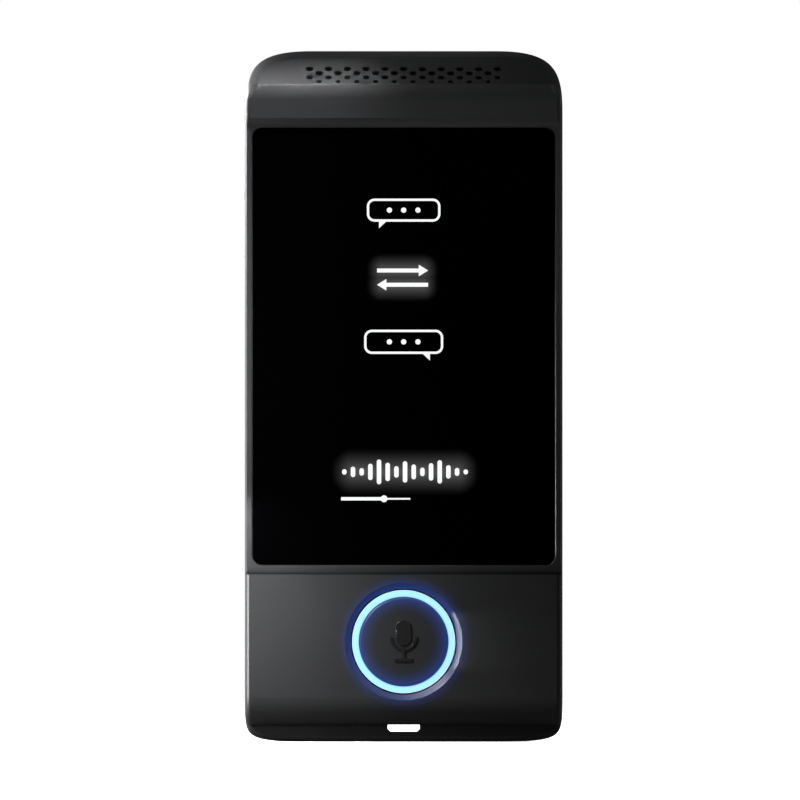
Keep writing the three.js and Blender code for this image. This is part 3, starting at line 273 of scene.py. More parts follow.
RECESS_LOW = GLASS_LOW[2] - RECESS_LOW_MARGIN
RECESS_HIGH = GLASS_HIGH[2] + RECESS_HIGH_MARGIN
CHIN_STEP = RECESS_LOW - RECESS_SLOPE
RECESS_FLOOR = FRONT + RECESS_DEPTH


# Solids: each is a list of vertices in millimetres and a list of faces

def joined(*solids):
    """Several solids that don't meet, as one."""
    vertices, faces = [], []
    for points, polygons in solids:
        start = len(vertices)
        vertices += [tuple(point) for point in points]
        faces += [tuple(start + i for i in polygon) for polygon in polygons]
    return vertices, faces


def rounded(half_u, half_v, radius):
    """A rectangle with round corners, about the origin."""
    points = []
    for sign_u, sign_v, start in ((1, -1, -90), (1, 1, 0), (-1, 1, 90), (-1, -1, 180)):
        for i in range(CORNER_STEPS + 1):
            angle = radians(start + 90 * i / CORNER_STEPS)
            points.append((sign_u * (half_u - radius) + radius * cos(angle),
                           sign_v * (half_v - radius) + radius * sin(angle)))
    return np.array(points)


def circle(radius, sides=SMALL_SIDES):
    angles = np.arange(sides) * 2 * pi / sides
    return np.column_stack([radius * np.cos(angles), radius * np.sin(angles)])


def placed(points, axis, at, centre):
    """Outline points put square to an axis, at a place along it."""
    out = np.zeros((len(points), 3))
    others = [i for i in range(3) if i != axis]
    out[:, axis] = at
    out[:, others] = points + np.array(centre)
    return out


def bands(count, total, last):
    """Faces from each ring of count points to the next, of total points, as far as the last ring."""
    faces = []
    for start in range(0, last, count):
        for i in range(count):
            a, b = start + i, start + (i + 1) % count
            faces.append((a, b, (b + count) % total, (a + count) % total))
    return faces


def stack(outline, levels, axis, centre):
    """A solid through outlines at several places on an axis; outline(grow) gives their points."""
    rings = [placed(outline(grow), axis, at, centre) for at, grow in levels]
    count, total = len(rings[0]), len(rings) * len(rings[0])
    last = total - count
    return np.vstack(rings), [tuple(range(count)), tuple(range(last, total)), *bands(count, total, last)]


def slab(outline, levels, centre):
    return stack(outline, levels, 1, centre)


def plate(outline, span, centre=(0, 0), axis=1):
    """A solid with straight sides, from an outline, between two places on an axis."""
    return stack(lambda grow: outline, [(at, 0) for at in span], axis, centre)


def turned(levels, centre, sides=ROUND_SIDES):
    """A solid of rotation about Y from [y, radius] levels."""
    return stack(lambda radius: circle(radius, sides), levels, 1, centre)


def closed(rings):
    """A solid through rings of points, the last one joined to the first."""
    total = len(rings) * len(rings[0])
    return np.vstack(rings), bands(len(rings[0]), total, total)


def hoop(profile, centre):
    """A ring about Y from a closed [radius, y] outline."""
    rings = []
    for i in range(ROUND_SIDES):
        angle = 2 * pi * i / ROUND_SIDES
        across, up = cos(angle), sin(angle)
        rings.append([(centre[0] + radius * across, y, centre[1] + radius * up) for radius, y in profile])
    return closed(rings)


def block(low, high):
    """A box from its lowest and highest corner."""
    corners = [(low[0], low[2]), (high[0], low[2]), (high[0], high[2]), (low[0], high[2])]
    return plate(corners, (low[1], high[1]))


def arc(centre, radius, start, end, steps):
    """Points on an arc, angles in degrees."""
    angles = np.radians(np.linspace(start, end, steps + 1))
    return [(centre[0] + radius * cos(a), centre[1] + radius * sin(a)) for a in angles]


# Blender meshes from solids

def shown(name, data):
    """A new object in the scene."""
    made = bpy.data.objects.new(name, data)
    bpy.context.scene.collection.objects.link(made)
    return made


def raw_mesh(solid):
    points, faces = solid
    mesh = bpy.data.meshes.new("solid")
    mesh.from_pydata([tuple(float(c) * MM for c in point) for point in points], [], faces)
    work = bmesh.new()
    work.from_mesh(mesh)
    bmesh.ops.remove_doubles(work, verts=work.verts, dist=MM * MM)
    bmesh.ops.recalc_face_normals(work, faces=work.faces)
    work.to_mesh(mesh)
    work.free()
    return mesh


CUT, ADD, KEEP = "DIFFERENCE", "UNION", "INTERSECT"


def cut_mesh(start, steps):
    """A mesh from a starting solid and boolean steps, each (operation, solid)."""
    objects = [shown("work", raw_mesh(solid)) for solid in (start, *(tool for _, tool in steps))]
    for (operation, _), tool in zip(steps, objects[1:]):
        modifier = objects[0].modifiers.new("step", "BOOLEAN")
        modifier.operation = operation
        modifier.solver = "MANIFOLD"
        modifier.object = tool
    graph = bpy.context.evaluated_depsgraph_get()
    mesh = bpy.data.meshes.new_from_object(objects[0].evaluated_get(graph))
    for made in objects:
        old = made.data
        bpy.data.objects.remove(made)
        bpy.data.meshes.remove(old)
    return mesh


def merged(meshes):
    """Several meshes as one."""
    work = bmesh.new()
    for mesh in meshes:
        work.from_mesh(mesh)
        bpy.data.meshes.remove(mesh)
    whole = bpy.data.meshes.new("merged")
    work.to_mesh(whole)
    work.free()
    return whole


def piece(name, mesh, material, body="case", stands_for=None, edge=0):
    """A visible piece that rides on a CAD body, with its edges broken by a width where that is given."""
    if isinstance(mesh, tuple):
        mesh = raw_mesh(mesh)
    mesh.name = name
    mesh.shade_smooth()
    mesh.set_sharp_from_angle(angle=SMOOTH_ANGLE)
    mesh.materials.clear()
    mesh.materials.append(material)
    made = shown(name, mesh)
    if edge:
        bevel = made.modifiers.new("edge", "BEVEL")
        bevel.width = edge * MM
        bevel.segments = BEVEL_SEGMENTS
        bevel.angle_limit = SMOOTH_ANGLE
    normals = made.modifiers.new("normals", "WEIGHTED_NORMAL")
    normals.keep_sharp = True
    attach(made, body)
    if stands_for:
        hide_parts(stands_for)


# Case shape

def corner(across, rise, across_share, rise_share, inset):
    """A corner of the outline as distances from the side and from the end, moved in by inset."""
    t = np.linspace(0, 1, CORNER_SAMPLES)[:, None]
    s = 1 - t
    p0, p1, p2, p3 = (np.array(p, float) for p in (
        (across, 0), (across * across_share, 0), (0, rise * rise_share), (0, rise)))
    point = s**3 * p0 + 3 * s * s * t * p1 + 3 * s * t * t * p2 + t**3 * p3
    along = s * s * (p1 - p0) + 2 * s * t * (p2 - p1) + t * t * (p3 - p2)
    along /= np.linalg.norm(along, axis=1)[:, None]
    return point[:, 0] + inset * along[:, 1], point[:, 1] - inset * along[:, 0]


def half_width(z, inset):
    """Half the width of the case's outline at a height, moved in by inset."""
    top_across, top_rise = corner(**TOP_CORNER, inset=inset)
    foot_across, foot_rise = corner(**FOOT_CORNER, inset=inset)
    return SIDE - max(np.interp(TOP - z, top_rise, top_across), np.interp(z, foot_rise, foot_across))


def arc_radius(run, depth):
    """The radius of an arc that starts flat and drops by depth over a run."""
    return (run * run + depth * depth) / (2 * depth)


def front_at(z, inset=0):
    """Where the front lies at a height, for the case's face moved in by inset."""
    if z < LIP_HEIGHT:
        return FRONT + LIP_SETBACK
    chin_radius = arc_radius(CHIN_ROUND_RISE, CHIN_ROUND_DEPTH)
    brow_radius = arc_radius(BEVEL_START - BROW_START, BROW_ROUND_DEPTH)
    chin_run = max(CHIN_TOP - z, 0)
    brow_end = (brow_radius - inset) * (BEVEL_START - BROW_START) / brow_radius
    brow_run = min(max(z - BROW_START, 0), brow_end)
    chin = FRONT + chin_radius - sqrt((chin_radius - inset) ** 2 - chin_run**2)
    brow = FRONT + brow_radius - sqrt((brow_radius - inset) ** 2 - brow_run**2)
    slope = (z - BEVEL_START) * tan(BEVEL_TILT)
    bevel = FRONT + BROW_ROUND_DEPTH + slope + inset / cos(BEVEL_TILT)
    return max(chin, brow, bevel)


def held(share):
    return min(max(share, 0), 1)


def smooth_share(share):
    return held(share) ** 2 * (3 - 2 * held(share))


def recess_floor(z):
    """The recess: it rises to the brow in a slope, and falls away to a sharp step at the chin."""
    if z <= CHIN_STEP:
        return FRONT
    rise = held((z - RECESS_HIGH) / RECESS_SLOPE)
    fall = held((RECESS_LOW - z) / RECESS_SLOPE)
    return FRONT + RECESS_DEPTH * (1 - rise**2) + STRIP_FALL * fall**2


def row_height(z, inset):
    """A row's height on a ring that is moved in: the end rows close up, the others stay."""
    if z < LIP_HEIGHT:
        return inset + (LIP_HEIGHT - inset) * z / LIP_HEIGHT
    if z <= BEVEL_START:
        return z
    reach = TOP - BEVEL_START
    return TOP - inset - (reach - inset) * (TOP - z) / reach


def case_rows():
    """Heights of the rows of points that the case is made of."""
    step = CORNER_SAMPLES // CORNER_ROWS
    foot = corner(**FOOT_CORNER, inset=0)[1][::step]
    top = TOP - corner(**TOP_CORNER, inset=0)[1][::step]
    creases = [0, LIP_HEIGHT - MM, LIP_HEIGHT, CHIN_TOP, CHIN_STEP, CHIN_STEP + MM, RECESS_LOW,
               RECESS_HIGH, RECESS_HIGH + RECESS_SLOPE, BROW_START, BEVEL_START, TOP]
    rows = [
        *foot, *top, *creases,
        *np.linspace(LIP_HEIGHT, CHIN_TOP, ARC_ROWS),
        *np.linspace(CHIN_STEP + MM, RECESS_LOW, SLOPE_ROWS),
        *np.linspace(RECESS_HIGH, RECESS_HIGH + RECESS_SLOPE, SLOPE_ROWS),
        *np.linspace(BROW_START, BEVEL_START, ARC_ROWS),
    ]
    kept = []
    for z in sorted(set(np.round(rows, 6))):
        near_crease = any(0 < abs(z - crease) < SEAM / 2 for crease in creases[1:-1])
        if z in np.round(creases, 6) or not near_crease:
            kept.append(float(z))
    return kept


def ringed(rings):
    """A closed solid from rings of right-hand [x, y, z] points, each mirrored to the left."""
    rows = len(rings[0])
    loop = 2 * rows
    points = []
    for ring in rings:
        points += [tuple(p) for p in ring] + [(-x, y, z) for x, y, z in reversed(ring)]
    last = len(points) - loop
    faces = bands(loop, len(points), last)
    for start in (0, last):
        for row in range(rows - 1):
            faces.append((start + row, start + row + 1, start + loop - 2 - row, start + loop - 1 - row))
    return points, faces


def parting_depth(z):
    """Where the rear housing begins at a height."""
    share = (z - LIP_HEIGHT) / (TOP + OVERRUN - LIP_HEIGHT)
    low, high = BACK - PARTING_FOOT_DEPTH, BACK - PARTING_TOP_DEPTH
    return low + (high - low) * max(share, 0) + SEAM / 2


def slant_share(z):
    """0 below the brow's round, 1 on the slanted face."""
    return smooth_share((z - BROW_START) / (BEVEL_START - BROW_START))


def outer_ring(rows, inset_at, depth_at):
    ring = []
    for row in rows:
        inset = inset_at(row)
        z = row_height(row, inset)
        ring.append((half_width(z, inset), depth_at(row, z), z))
    return ring


def front_edge_ring(rows, angle):
    """One ring of the rounded front edge. On the slanted face it's wider, with a faint crease."""
    run, drop = 1 - cos(angle), 1 - sin(angle)

    def inset_at(row):
        extra = slant_share(row) * smooth_share((TOP - row) / (TOP - BEVEL_START))
        return run * (FRONT_EDGE_WIDTH + extra * (SLANT_EDGE_WIDTH - FRONT_EDGE_WIDTH))

    def depth_at(row, z):
        depth = FOOT_EDGE_DEPTH if row < LIP_HEIGHT else FRONT_EDGE_DEPTH
        crease = SLANT_EDGE_CREASE * slant_share(row)
        share = (1 - crease) * drop + crease * (1 - run)
        return max(front_at(z) + depth * share, recess_floor(z))
    return outer_ring(rows, inset_at, depth_at)


def outer_body():
    rows = case_rows()
    recess_angle = asin(1 - RECESS_DEPTH / FRONT_EDGE_DEPTH)
    steep = np.linspace(0, recess_angle, EDGE_STEPS)[:-1]
    angles = [*steep, *np.linspace(recess_angle, pi / 2, EDGE_STEPS)]
    rings = [front_edge_ring(rows, angle) for angle in reversed(angles)]
    groove = ((-SEAM_GROOVE_HALF, 0), (-SEAM / 2, 1), (SEAM / 2, 1), (SEAM_GROOVE_HALF, 0))
    for offset, depth in groove:
        rings.append(outer_ring(
            rows, lambda row: SEAM_GROOVE_DEPTH * depth * (row > LIP_HEIGHT),
            lambda row, z: parting_depth(row) + offset))
    for angle in QUARTER_TURN:
        inset, y = BACK_EDGE_WIDTH * (1 - cos(angle)), BACK - BACK_EDGE_DEPTH * (1 - sin(angle))
        rings.append(outer_ring(rows, lambda row: inset, lambda row, z: y))
    return ringed(rings)


def cavity():
    low, high = LIP_HEIGHT + WALL, TOP - WALL
    rows = [z for z in case_rows() if low < z < high and (z <= CHIN_TOP or z >= BROW_START)]

    def ring(depth_at):
        return [(half_width(z, WALL), depth_at(z), z) for z in (low, *rows, high)]
    return ringed([ring(lambda z: front_at(z, WALL)), ring(lambda z: BACK - WALL)])


def rear_region(gap):
    """The rear housing's share: behind the parting plane, and the lip below the chin."""
    far, top, lip_top = BACK - FRONT + OVERRUN, TOP + OVERRUN, LIP_HEIGHT - gap
    low, high = BACK - PARTING_FOOT_DEPTH + gap, BACK - PARTING_TOP_DEPTH + gap
    shape = [(-far, -OVERRUN), (far, -OVERRUN), (far, top), (high, top), (low, lip_top), (-far, lip_top)]
    return plate(shape, (-SIDE - OVERRUN, SIDE + OVERRUN), axis=0)


# Openings

def opening(face, end, gap=0, edge=CUT_EDGE):
    """Levels of an opening from a face, where its edge is broken, as far as a place behind it."""
    inward = copysign(1, end - face)
    before, behind = face - inward * OVERRUN, face + inward * edge
    return [(before, gap + edge), (face, gap + edge), (behind, gap), (end, gap)]


def glass_outline(grow):
    return rounded(*(GLASS_HALF + grow), GLASS_CORNER + grow)


def ledge():
    side = SIDE - WALL / 2
    return block((-side, GLASS_LOW[1] + WALL / 2, GLASS_LOW[2] - LEDGE_REACH),
                 (side, LEDGE_BACK, GLASS_HIGH[2] + LEDGE_REACH))


def glass_pocket():
    return slab(glass_outline, opening(RECESS_FLOOR, GLASS_SEAT, FIT_GAP), GLASS_CENTRE)


def glass_window():
    outline = rounded(*(GLASS_HALF - LEDGE_WIDTH), GLASS_CORNER)
    return plate(outline, (GLASS_LOW[1], LEDGE_BACK + OVERRUN), GLASS_CENTRE)


def button_well():
    bore, rim, step = RING_OUTER + RING_GAP, WELL_RADIUS + WELL_EDGE, WELL_EDGE / 3
    return turned([
        (FRONT - OVERRUN, rim), (FRONT, rim), (FRONT + step, WELL_RADIUS + step),
        (FRONT + WELL_EDGE, WELL_RADIUS - step), (FRONT + WELL_DEPTH, bore),
        (FRONT + WALL + OVERRUN, bore)], BUTTON_CENTRE)


def speaker_holes():
    """Holes square to the slanted face: each is drawn along Y and turned on to the slant."""
    height = TOP - HOLE_ROWS_DROP
    face = FRONT + BROW_ROUND_DEPTH + (height - BEVEL_START) * tan(BEVEL_TILT)
    matrix = Matrix.Translation((0, face, height)) @ Matrix.Rotation(-BEVEL_TILT, 4, "X")
    half_field = SIDE - HOLE_FIELD_INSET
    holes = []
    for row, share in enumerate(HOLE_ROW_SHARES):
        count = HOLE_COLUMNS - row % 2
        up = ((len(HOLE_ROW_SHARES) - 1) / 2 - row) * HOLE_ROW_PITCH
        levels = opening(0, WALL + OVERRUN / 2, HOLE_RADIUS * share, HOLE_EDGE)
        for column in range(count):
            x = (2 * column - count + 1) * half_field / (HOLE_COLUMNS - 1)
            points, faces = turned(levels, (x, up), HOLE_SIDES)
            holes.append(([matrix @ Vector(point) for point in points], faces))
    return holes


def key_span(node):
    """The Y and Z span of a key's cap, inside its flange."""
    low, high = box_mm(node)
    margin = KEY_FLANGE_MARGIN + FIT_GAP
    return low[1:] + margin, high[1:] - margin


def key_centre(node):
    return sum(key_span(node)) / 2


def key_outline(node, grow):
    """The outline of a side key's cap in Y and Z, about its own middle."""
    low, high = key_span(node)
    half_y, half_z = (high - low) / 2 + grow
    return rounded(half_y, half_z, half_y)


def side_opening(sign, gap, edge=CUT_EDGE):
    return opening(sign * SIDE, sign * (SIDE - WALL - OVERRUN), gap, edge)


def key_slot(node, sign):
    return stack(lambda grow: key_outline(node, grow), side_opening(sign, FIT_GAP), 0, key_centre(node))


def usb_outline(grow):
    low, high = box_mm("usb_c_connector")
    return rounded(*((high - low)[1:] / 2 + grow), USB_CORNER + grow)


def usb_mouth():
    return stack(usb_outline, side_opening(-1, USB_GAP, 2 * CUT_EDGE), 0, middle("usb_c_connector")[1:])


def foot_port():
    levels, centre = opening(0, LIP_HEIGHT + WALL + OVERRUN), middle("lower_microphone_boot")[:2]
    return stack(lambda grow: circle(MICROPHONE_PORT + grow), levels, 2, centre)


def rear_hole(radius, floor, centre):
    """A round hole from the back as far as a place on Y, with a small edge."""
    levels = reversed(opening(BACK, floor, radius))
    return turned(levels, centre, ROUND_SIDES // 2)


def rear_seat(node, gap, floor):
    radius, _, _, centre = round_node(node)
    return rear_hole(radius + gap, floor, centre)


def lanyard_slot():
    """The slot's outline is drawn wider at the lip's two faces, so that its edges are broken."""
    def outline(grow):
        half, low, top = SLOT_WIDTH / 2 + grow, SLOT_LOW - grow, LIP_HEIGHT + SEAM
        inner, rise = half - SLOT_CHAMFER, low + SLOT_CHAMFER
        return [(-inner, low), (inner, low), (half, rise), (half, top), (-half, top), (-half, rise)]
    face = FRONT + LIP_SETBACK
    return slab(outline, [
        (face - OVERRUN, SLOT_EDGE), (face, SLOT_EDGE), (face + SLOT_EDGE, 0), (BACK - SLOT_EDGE, 0),
        (BACK, SLOT_EDGE), (BACK + OVERRUN, SLOT_EDGE)], (0, 0))


PLUGS = [f"screw_plug_{i}" for i in range(1, 5)]


def front_housing(plastic):
    keys = key_slot("power_key", 1), key_slot("volume_rocker", -1)
    holes = joined(button_well(), *keys, usb_mouth(), *speaker_holes())
    mesh = cut_mesh(outer_body(), [
        (CUT, cavity()), (CUT, rear_region(0)), (ADD, ledge()),
        (CUT, glass_pocket()), (CUT, glass_window()), (CUT, holes),
        (CUT, foot_port())])
    piece("front_shell", mesh, plastic, stands_for="front_housing")


def rear_housing(plastic):
    window_floor = box_mm("camera_window")[0][1]
    port = rear_hole(MICROPHONE_PORT, BACK - WALL - OVERRUN, middle("upper_microphone_boot")[[0, 2]])
    seats = joined(
        rear_seat("camera_window", FIT_GAP, window_floor), rear_seat("flash_lens", FIT_GAP, window_floor),
        port, *(rear_seat(plug, CUT_EDGE, box_mm(plug)[0][1]) for plug in PLUGS))
    mesh = cut_mesh(outer_body(), [
        (CUT, cavity()), (KEEP, rear_region(SEAM_GAP)), (CUT, seats),
        (CUT, lanyard_slot()), (CUT, foot_port())])
    piece("rear_shell", mesh, plastic, stands_for="rear_housing")


# Pieces on the front

def rounded_rim(front, edge, steps=RIM_STEPS):
    """Levels of a rounded front rim, from its face inwards: [y, grow] pairs."""
    angles = reversed(np.linspace(0, pi / 2, steps + 1))
    return [(front + edge * (1 - sin(a)), -edge * (1 - cos(a))) for a in angles]


def cover_glass(material):
    levels = [*rounded_rim(GLASS_LOW[1], GLASS_EDGE, GLASS_RIM_STEPS), (GLASS_HIGH[1], 0)]
    piece("screen", slab(glass_outline, levels, GLASS_CENTRE), material,
          stands_for="cover_glass")


def talk_button(material):
    shelf = BUTTON_BACK - BUTTON_FLANGE
    levels = [(y, BUTTON_RADIUS + grow) for y, grow in rounded_rim(BUTTON_FACE, BUTTON_EDGE)]
    levels += [(shelf, BUTTON_RADIUS), (shelf, BUTTON_FLANGE_RADIUS), (BUTTON_BACK, BUTTON_FLANGE_RADIUS)]
    piece("talk_button_cap", turned(levels, BUTTON_CENTRE), material,
          body="talk_button", stands_for="action_button")


def microphone_symbol(material):
    """A microphone pictogram, raised on the button's face."""
    x, z = BUTTON_CENTRE
    span = (BUTTON_FACE - SYMBOL_RAISE, BUTTON_FACE + SYMBOL_RAISE)
    body = rounded(MICROPHONE_HALF, MICROPHONE_LENGTH / 2, MICROPHONE_HALF)
    body_centre = (x, z + MICROPHONE_FOOT + MICROPHONE_LENGTH / 2)
    hub = (x, z + HOLDER_RISE)
    holder = [*arc(hub, HOLDER_RADIUS, 180, 360, EDGE_STEPS * 2),
              *arc(hub, HOLDER_RADIUS - SYMBOL_STROKE, 360, 180, EDGE_STEPS * 2)]
    half, base = SYMBOL_STROKE / 2, z + STAND_FOOT
    stand = block((x - half, span[0], base), (x + half, span[1], hub[1] - HOLDER_RADIUS + half))
    foot = block((x - STAND_HALF, span[0], base), (x + STAND_HALF, span[1], base + SYMBOL_STROKE))
    parts = plate(holder, span), stand, foot
    mesh = cut_mesh(plate(body, span, body_centre), [(ADD, part) for part in parts])
    piece("button_symbol", mesh, material, body="talk_button", edge=SYMBOL_EDGE)


# Signs on the screen: generic, in place of the photo's words

def sign(outline, centre=(0, 0)):
    return plate(outline, SIGN_SPAN, centre)


def bubble_frame(size, centre):
    """A flat band inside a rectangle with round corners."""
    rings = []
    front, back = SIGN_SPAN
    for y, inset in ((front, 0), (back, 0), (back, SIGN_STROKE), (front, SIGN_STROKE)):
        outline = rounded(size[0] / 2 - inset, size[1] / 2 - inset, BUBBLE_CORNER - inset)
        rings.append(placed(outline, 1, y, centre))
    return closed(rings)


def bubble(middle, size, tail_side):
    """A speech bubble with a tail at its foot and dots in it."""
    x, z = middle
    foot, half = z - size[1] / 2, TAIL_WIDTH / 2
    tail_x = x + tail_side * size[0] * TAIL_PLACE_SHARE
    tail = sign([(tail_x - half, foot + SIGN_STROKE / 2), (tail_x + half, foot + SIGN_STROKE / 2),
                 (tail_x + tail_side * half, foot - TAIL_DROP)])
    parts = [cut_mesh(bubble_frame(size, middle), [(ADD, tail)])]
    for dot in range(BUBBLE_DOTS):
        place = (x + (dot - (BUBBLE_DOTS - 1) / 2) * DOT_PITCH, z)
        parts.append(raw_mesh(sign(circle(DOT_RADIUS), place)))
    return parts


def arrow_places():
    """The side that each arrow points to, and its middle."""
    lift = ARROWS["size"][1] / 2 - ARROW_HEAD_HALF
    x, z = ARROWS["middle"]
    return [(side, (x, z + side * lift)) for side in (1, -1)]


def arrow(side, middle):
    """A bold arrow that points to a side."""
    x, z = middle
    reach = side * ARROWS["size"][0] / 2
    tip, tail = x + reach, x - reach
    neck = tip - side * ARROW_HEAD
    half = ARROW_SHAFT / 2
    return sign([(tail, z - half), (neck, z - half), (neck, z - ARROW_HEAD_HALF), (tip, z),
                 (neck, z + ARROW_HEAD_HALF), (neck, z + half), (tail, z + half)])


def wave_bars(middle, size):
    pitch = size[0] / len(WAVE_SHARES)
    half_x = pitch * WAVE_BAR_SHARE / 2
    bars = []
    for i, share in enumerate(WAVE_SHARES):
        place = (middle[0] + (i - (len(WAVE_SHARES) - 1) / 2) * pitch, middle[1])
        bars.append(sign(rounded(half_x, max(size[1] * share / 2, half_x), half_x), place))
    return bars


def timeline(middle, size):
    """A thin line with a knob on it, thicker as far as the knob."""
    x, z = middle
    left, right = x - size[0] / 2, x + size[0] / 2
    knob = left + size[0] * TIMELINE_DONE_SHARE
    front, back = SIGN_SPAN
    line = block((left, front, z - size[1] / 2), (right, back, z + size[1] / 2))
    done = block((left, front, z - size[1]), (knob, back, z + size[1]))
    return cut_mesh(line, [(ADD, done), (ADD, sign(circle(TIMELINE_KNOB), (knob, z)))])


def screen_signs(material):
    """Thin lit plates on the glass."""
    groups = {
        "sign_first_bubble": bubble(**FIRST_BUBBLE),
        "sign_arrows": [raw_mesh(joined(*(arrow(*place) for place in arrow_places())))],
        "sign_second_bubble": bubble(**SECOND_BUBBLE),
        "sign_wave": [raw_mesh(joined(*wave_bars(**WAVE)))],
        "sign_timeline": [timeline(**TIMELINE)],
    }
    for name, meshes in groups.items():
        piece(name, merged(meshes), material)


def light_ring(material):
    flange, front, end, centre = round_node("light_ring")
    corner_in = arc((RING_INNER + RING_EDGE, front + RING_EDGE), RING_EDGE, 180, 270, RIM_STEPS)
    corner_out = arc((RING_OUTER - RING_EDGE, front + RING_EDGE), RING_EDGE, 270, 360, RIM_STEPS)
    shelf = FRONT + WALL + FIT_GAP
    back = shelf + RING_FLANGE
    skirt = RING_INNER + RING_SKIRT_INSET
    profile = [*corner_in, *corner_out, (RING_OUTER, shelf), (flange, shelf), (flange, end),
               (skirt, end), (skirt, back), (RING_INNER, back)]
    piece("glow_ring", hoop(profile, centre), material, stands_for="light_ring")


# Keys and socket on the sides

def key_mark(sign, face, centre, upright):
    """A raised plus sign, or a minus sign where it has no upright bar."""
    y, z = centre
    span = sorted((face + sign * MARK_RAISE, face - sign * MARK_RAISE))
    bars = [(MARK_REACH, MARK_HALF), (MARK_HALF, MARK_REACH)]
    return [block((span[0], y - a, z - b), (span[1], y + a, z + b)) for a, b in bars[:1 + upright]]


def side_key(node, name, sign, body, material, flange_gap, nubs, marks=False):
    """A side key with a rounded face, the flange that keeps it in the case, and nubs on its switches."""
    low, high = box_mm(node)
    outer, inner = (high[0], low[0]) if sign > 0 else (low[0], high[0])
    flange = sign * (SIDE - WALL - flange_gap)
    back = flange - sign * KEY_FLANGE_THICKNESS
    y, z = key_centre(node)
    levels = [(outer - sign * depth, grow) for depth, grow in rounded_rim(0, KEY_EDGE)]
    levels += [(flange, 0), (flange, KEY_FLANGE_MARGIN), (back, KEY_FLANGE_MARGIN)]
    nub_span = sorted((back + sign * KEY_FLANGE_THICKNESS / 2, inner))
    parts = []
    for rise in nubs:
        parts.append(plate(circle(KEY_NUB_RADIUS), nub_span, (y, z + rise), axis=0))
        if marks:
            parts += key_mark(sign, outer, (y, z + rise), rise > 0)
    cap = stack(lambda grow: key_outline(node, grow), levels, 0, (y, z))
    mesh = cut_mesh(cap, [(ADD, part) for part in parts])
    piece(name, mesh, material, body=body, stands_for=node)


def usb_socket(steel, plastic, gold):
    """The socket's drawn shell, its tongue and the contacts on it."""
    low, high = box_mm("usb_c_connector")
    centre = middle("usb_c_connector")[1:]
    mouth, rim = low[0], USB_RIM - USB_SHELL
    shell = stack(usb_outline, [(mouth, -USB_RIM), (mouth + USB_RIM, 0), (high[0], 0)], 0, centre)
    well = stack(usb_outline, [
        (mouth - OVERRUN, rim), (mouth, rim), (mouth + USB_RIM, -USB_SHELL),
        (high[0] - USB_TONGUE_SETBACK, -USB_SHELL)], 0, centre)
    shell = cut_mesh(shell, [(CUT, well)])
    piece("usb_shell", shell, steel, stands_for="usb_c_connector")
    half = USB_TONGUE_THICKNESS / 2
    tip = mouth + USB_TONGUE_SETBACK
    outline = rounded(half, USB_TONGUE_WIDTH / 2, half / 2)
    tongue = plate(outline, (tip, high[0] - USB_SHELL), centre, axis=0)
    piece("usb_tongue", tongue, plastic)
    start = tip + USB_TONGUE_THICKNESS
    contacts = []
    for y in (centre[0] - half, centre[0] + half):
        for i in range(USB_CONTACTS):
            z = centre[1] + (i - (USB_CONTACTS - 1) / 2) * USB_CONTACT_PITCH
            contacts.append(block(
                (start, y - USB_CONTACT_RAISE, z - USB_CONTACT_HALF),
                (start + USB_CONTACT_LENGTH, y + USB_CONTACT_RAISE, z + USB_CONTACT_HALF)))
    piece("usb_contacts", joined(*contacts), gold)


# Windows and plugs on the back

def camera_window(rim_finish, glass):
    """The camera's rim, and its pane with the bulge of the lens."""
    radius, front, back, centre = round_node("camera_window")
    inner = radius - WINDOW_RIM
    pane = back - PANE_SINK
    rim = hoop([
        (inner, front), (radius, front), (radius, back - WINDOW_EDGE), (radius - WINDOW_EDGE, back),
        (inner + WINDOW_EDGE, back), (inner, pane - WINDOW_EDGE)], centre)
    piece("camera_rim", rim, rim_finish)
    dome = [(pane + LENS_BULGE * sin(a), LENS_RADIUS * cos(a)) for a in QUARTER_TURN[:-1]]
    levels = [(front + MM, inner), (pane, inner), *dome, (pane + LENS_BULGE, MM)]
    piece("camera_pane", turned(levels, centre), glass, stands_for="camera_window")


def flash_lens(material):
    """The flash's light pipe, with the ridges of a Fresnel lens on its face."""
    radius, front, back, centre = round_node("flash_lens")
    ridge = radius / (FLASH_RIDGES + 1)
    levels = [(front, FLASH_STEM), (back - FLASH_HEAD, FLASH_STEM), (back - FLASH_HEAD, radius),
              (back - FLASH_RIDGE_HEIGHT, radius), (back, radius - FLASH_RIDGE_HEIGHT)]
    for i in range(FLASH_RIDGES):
        outer = radius - (i + 1) * ridge + ridge / 2
        levels += [(back, outer), (back - FLASH_RIDGE_HEIGHT, outer - FLASH_RIDGE_HEIGHT / 2),
                   (back, outer - ridge / 2)]
    piece("flash_pipe", turned(levels, centre), material, stands_for="flash_lens")


def screw_plugs(material):
    """Rubber plugs with a round rim and a shallow dish."""
    for number, node in enumerate(PLUGS, 1):
        radius, front, back, centre = round_node(node)
        rim = [(back - y, radius + grow) for y, grow in rounded_rim(0, PLUG_EDGE)]
        dish, floor_radius = back - PLUG_DISH, radius - PLUG_EDGE - 2 * PLUG_DISH
        levels = [(dish, MM), (dish, floor_radius - PLUG_DISH), (back, floor_radius + PLUG_DISH),
                  *rim, (front, radius)]
        plug = turned(levels, centre, ROUND_SIDES // 2)
        piece(f"plug_{number}", plug, material, stands_for=node)


# Materials

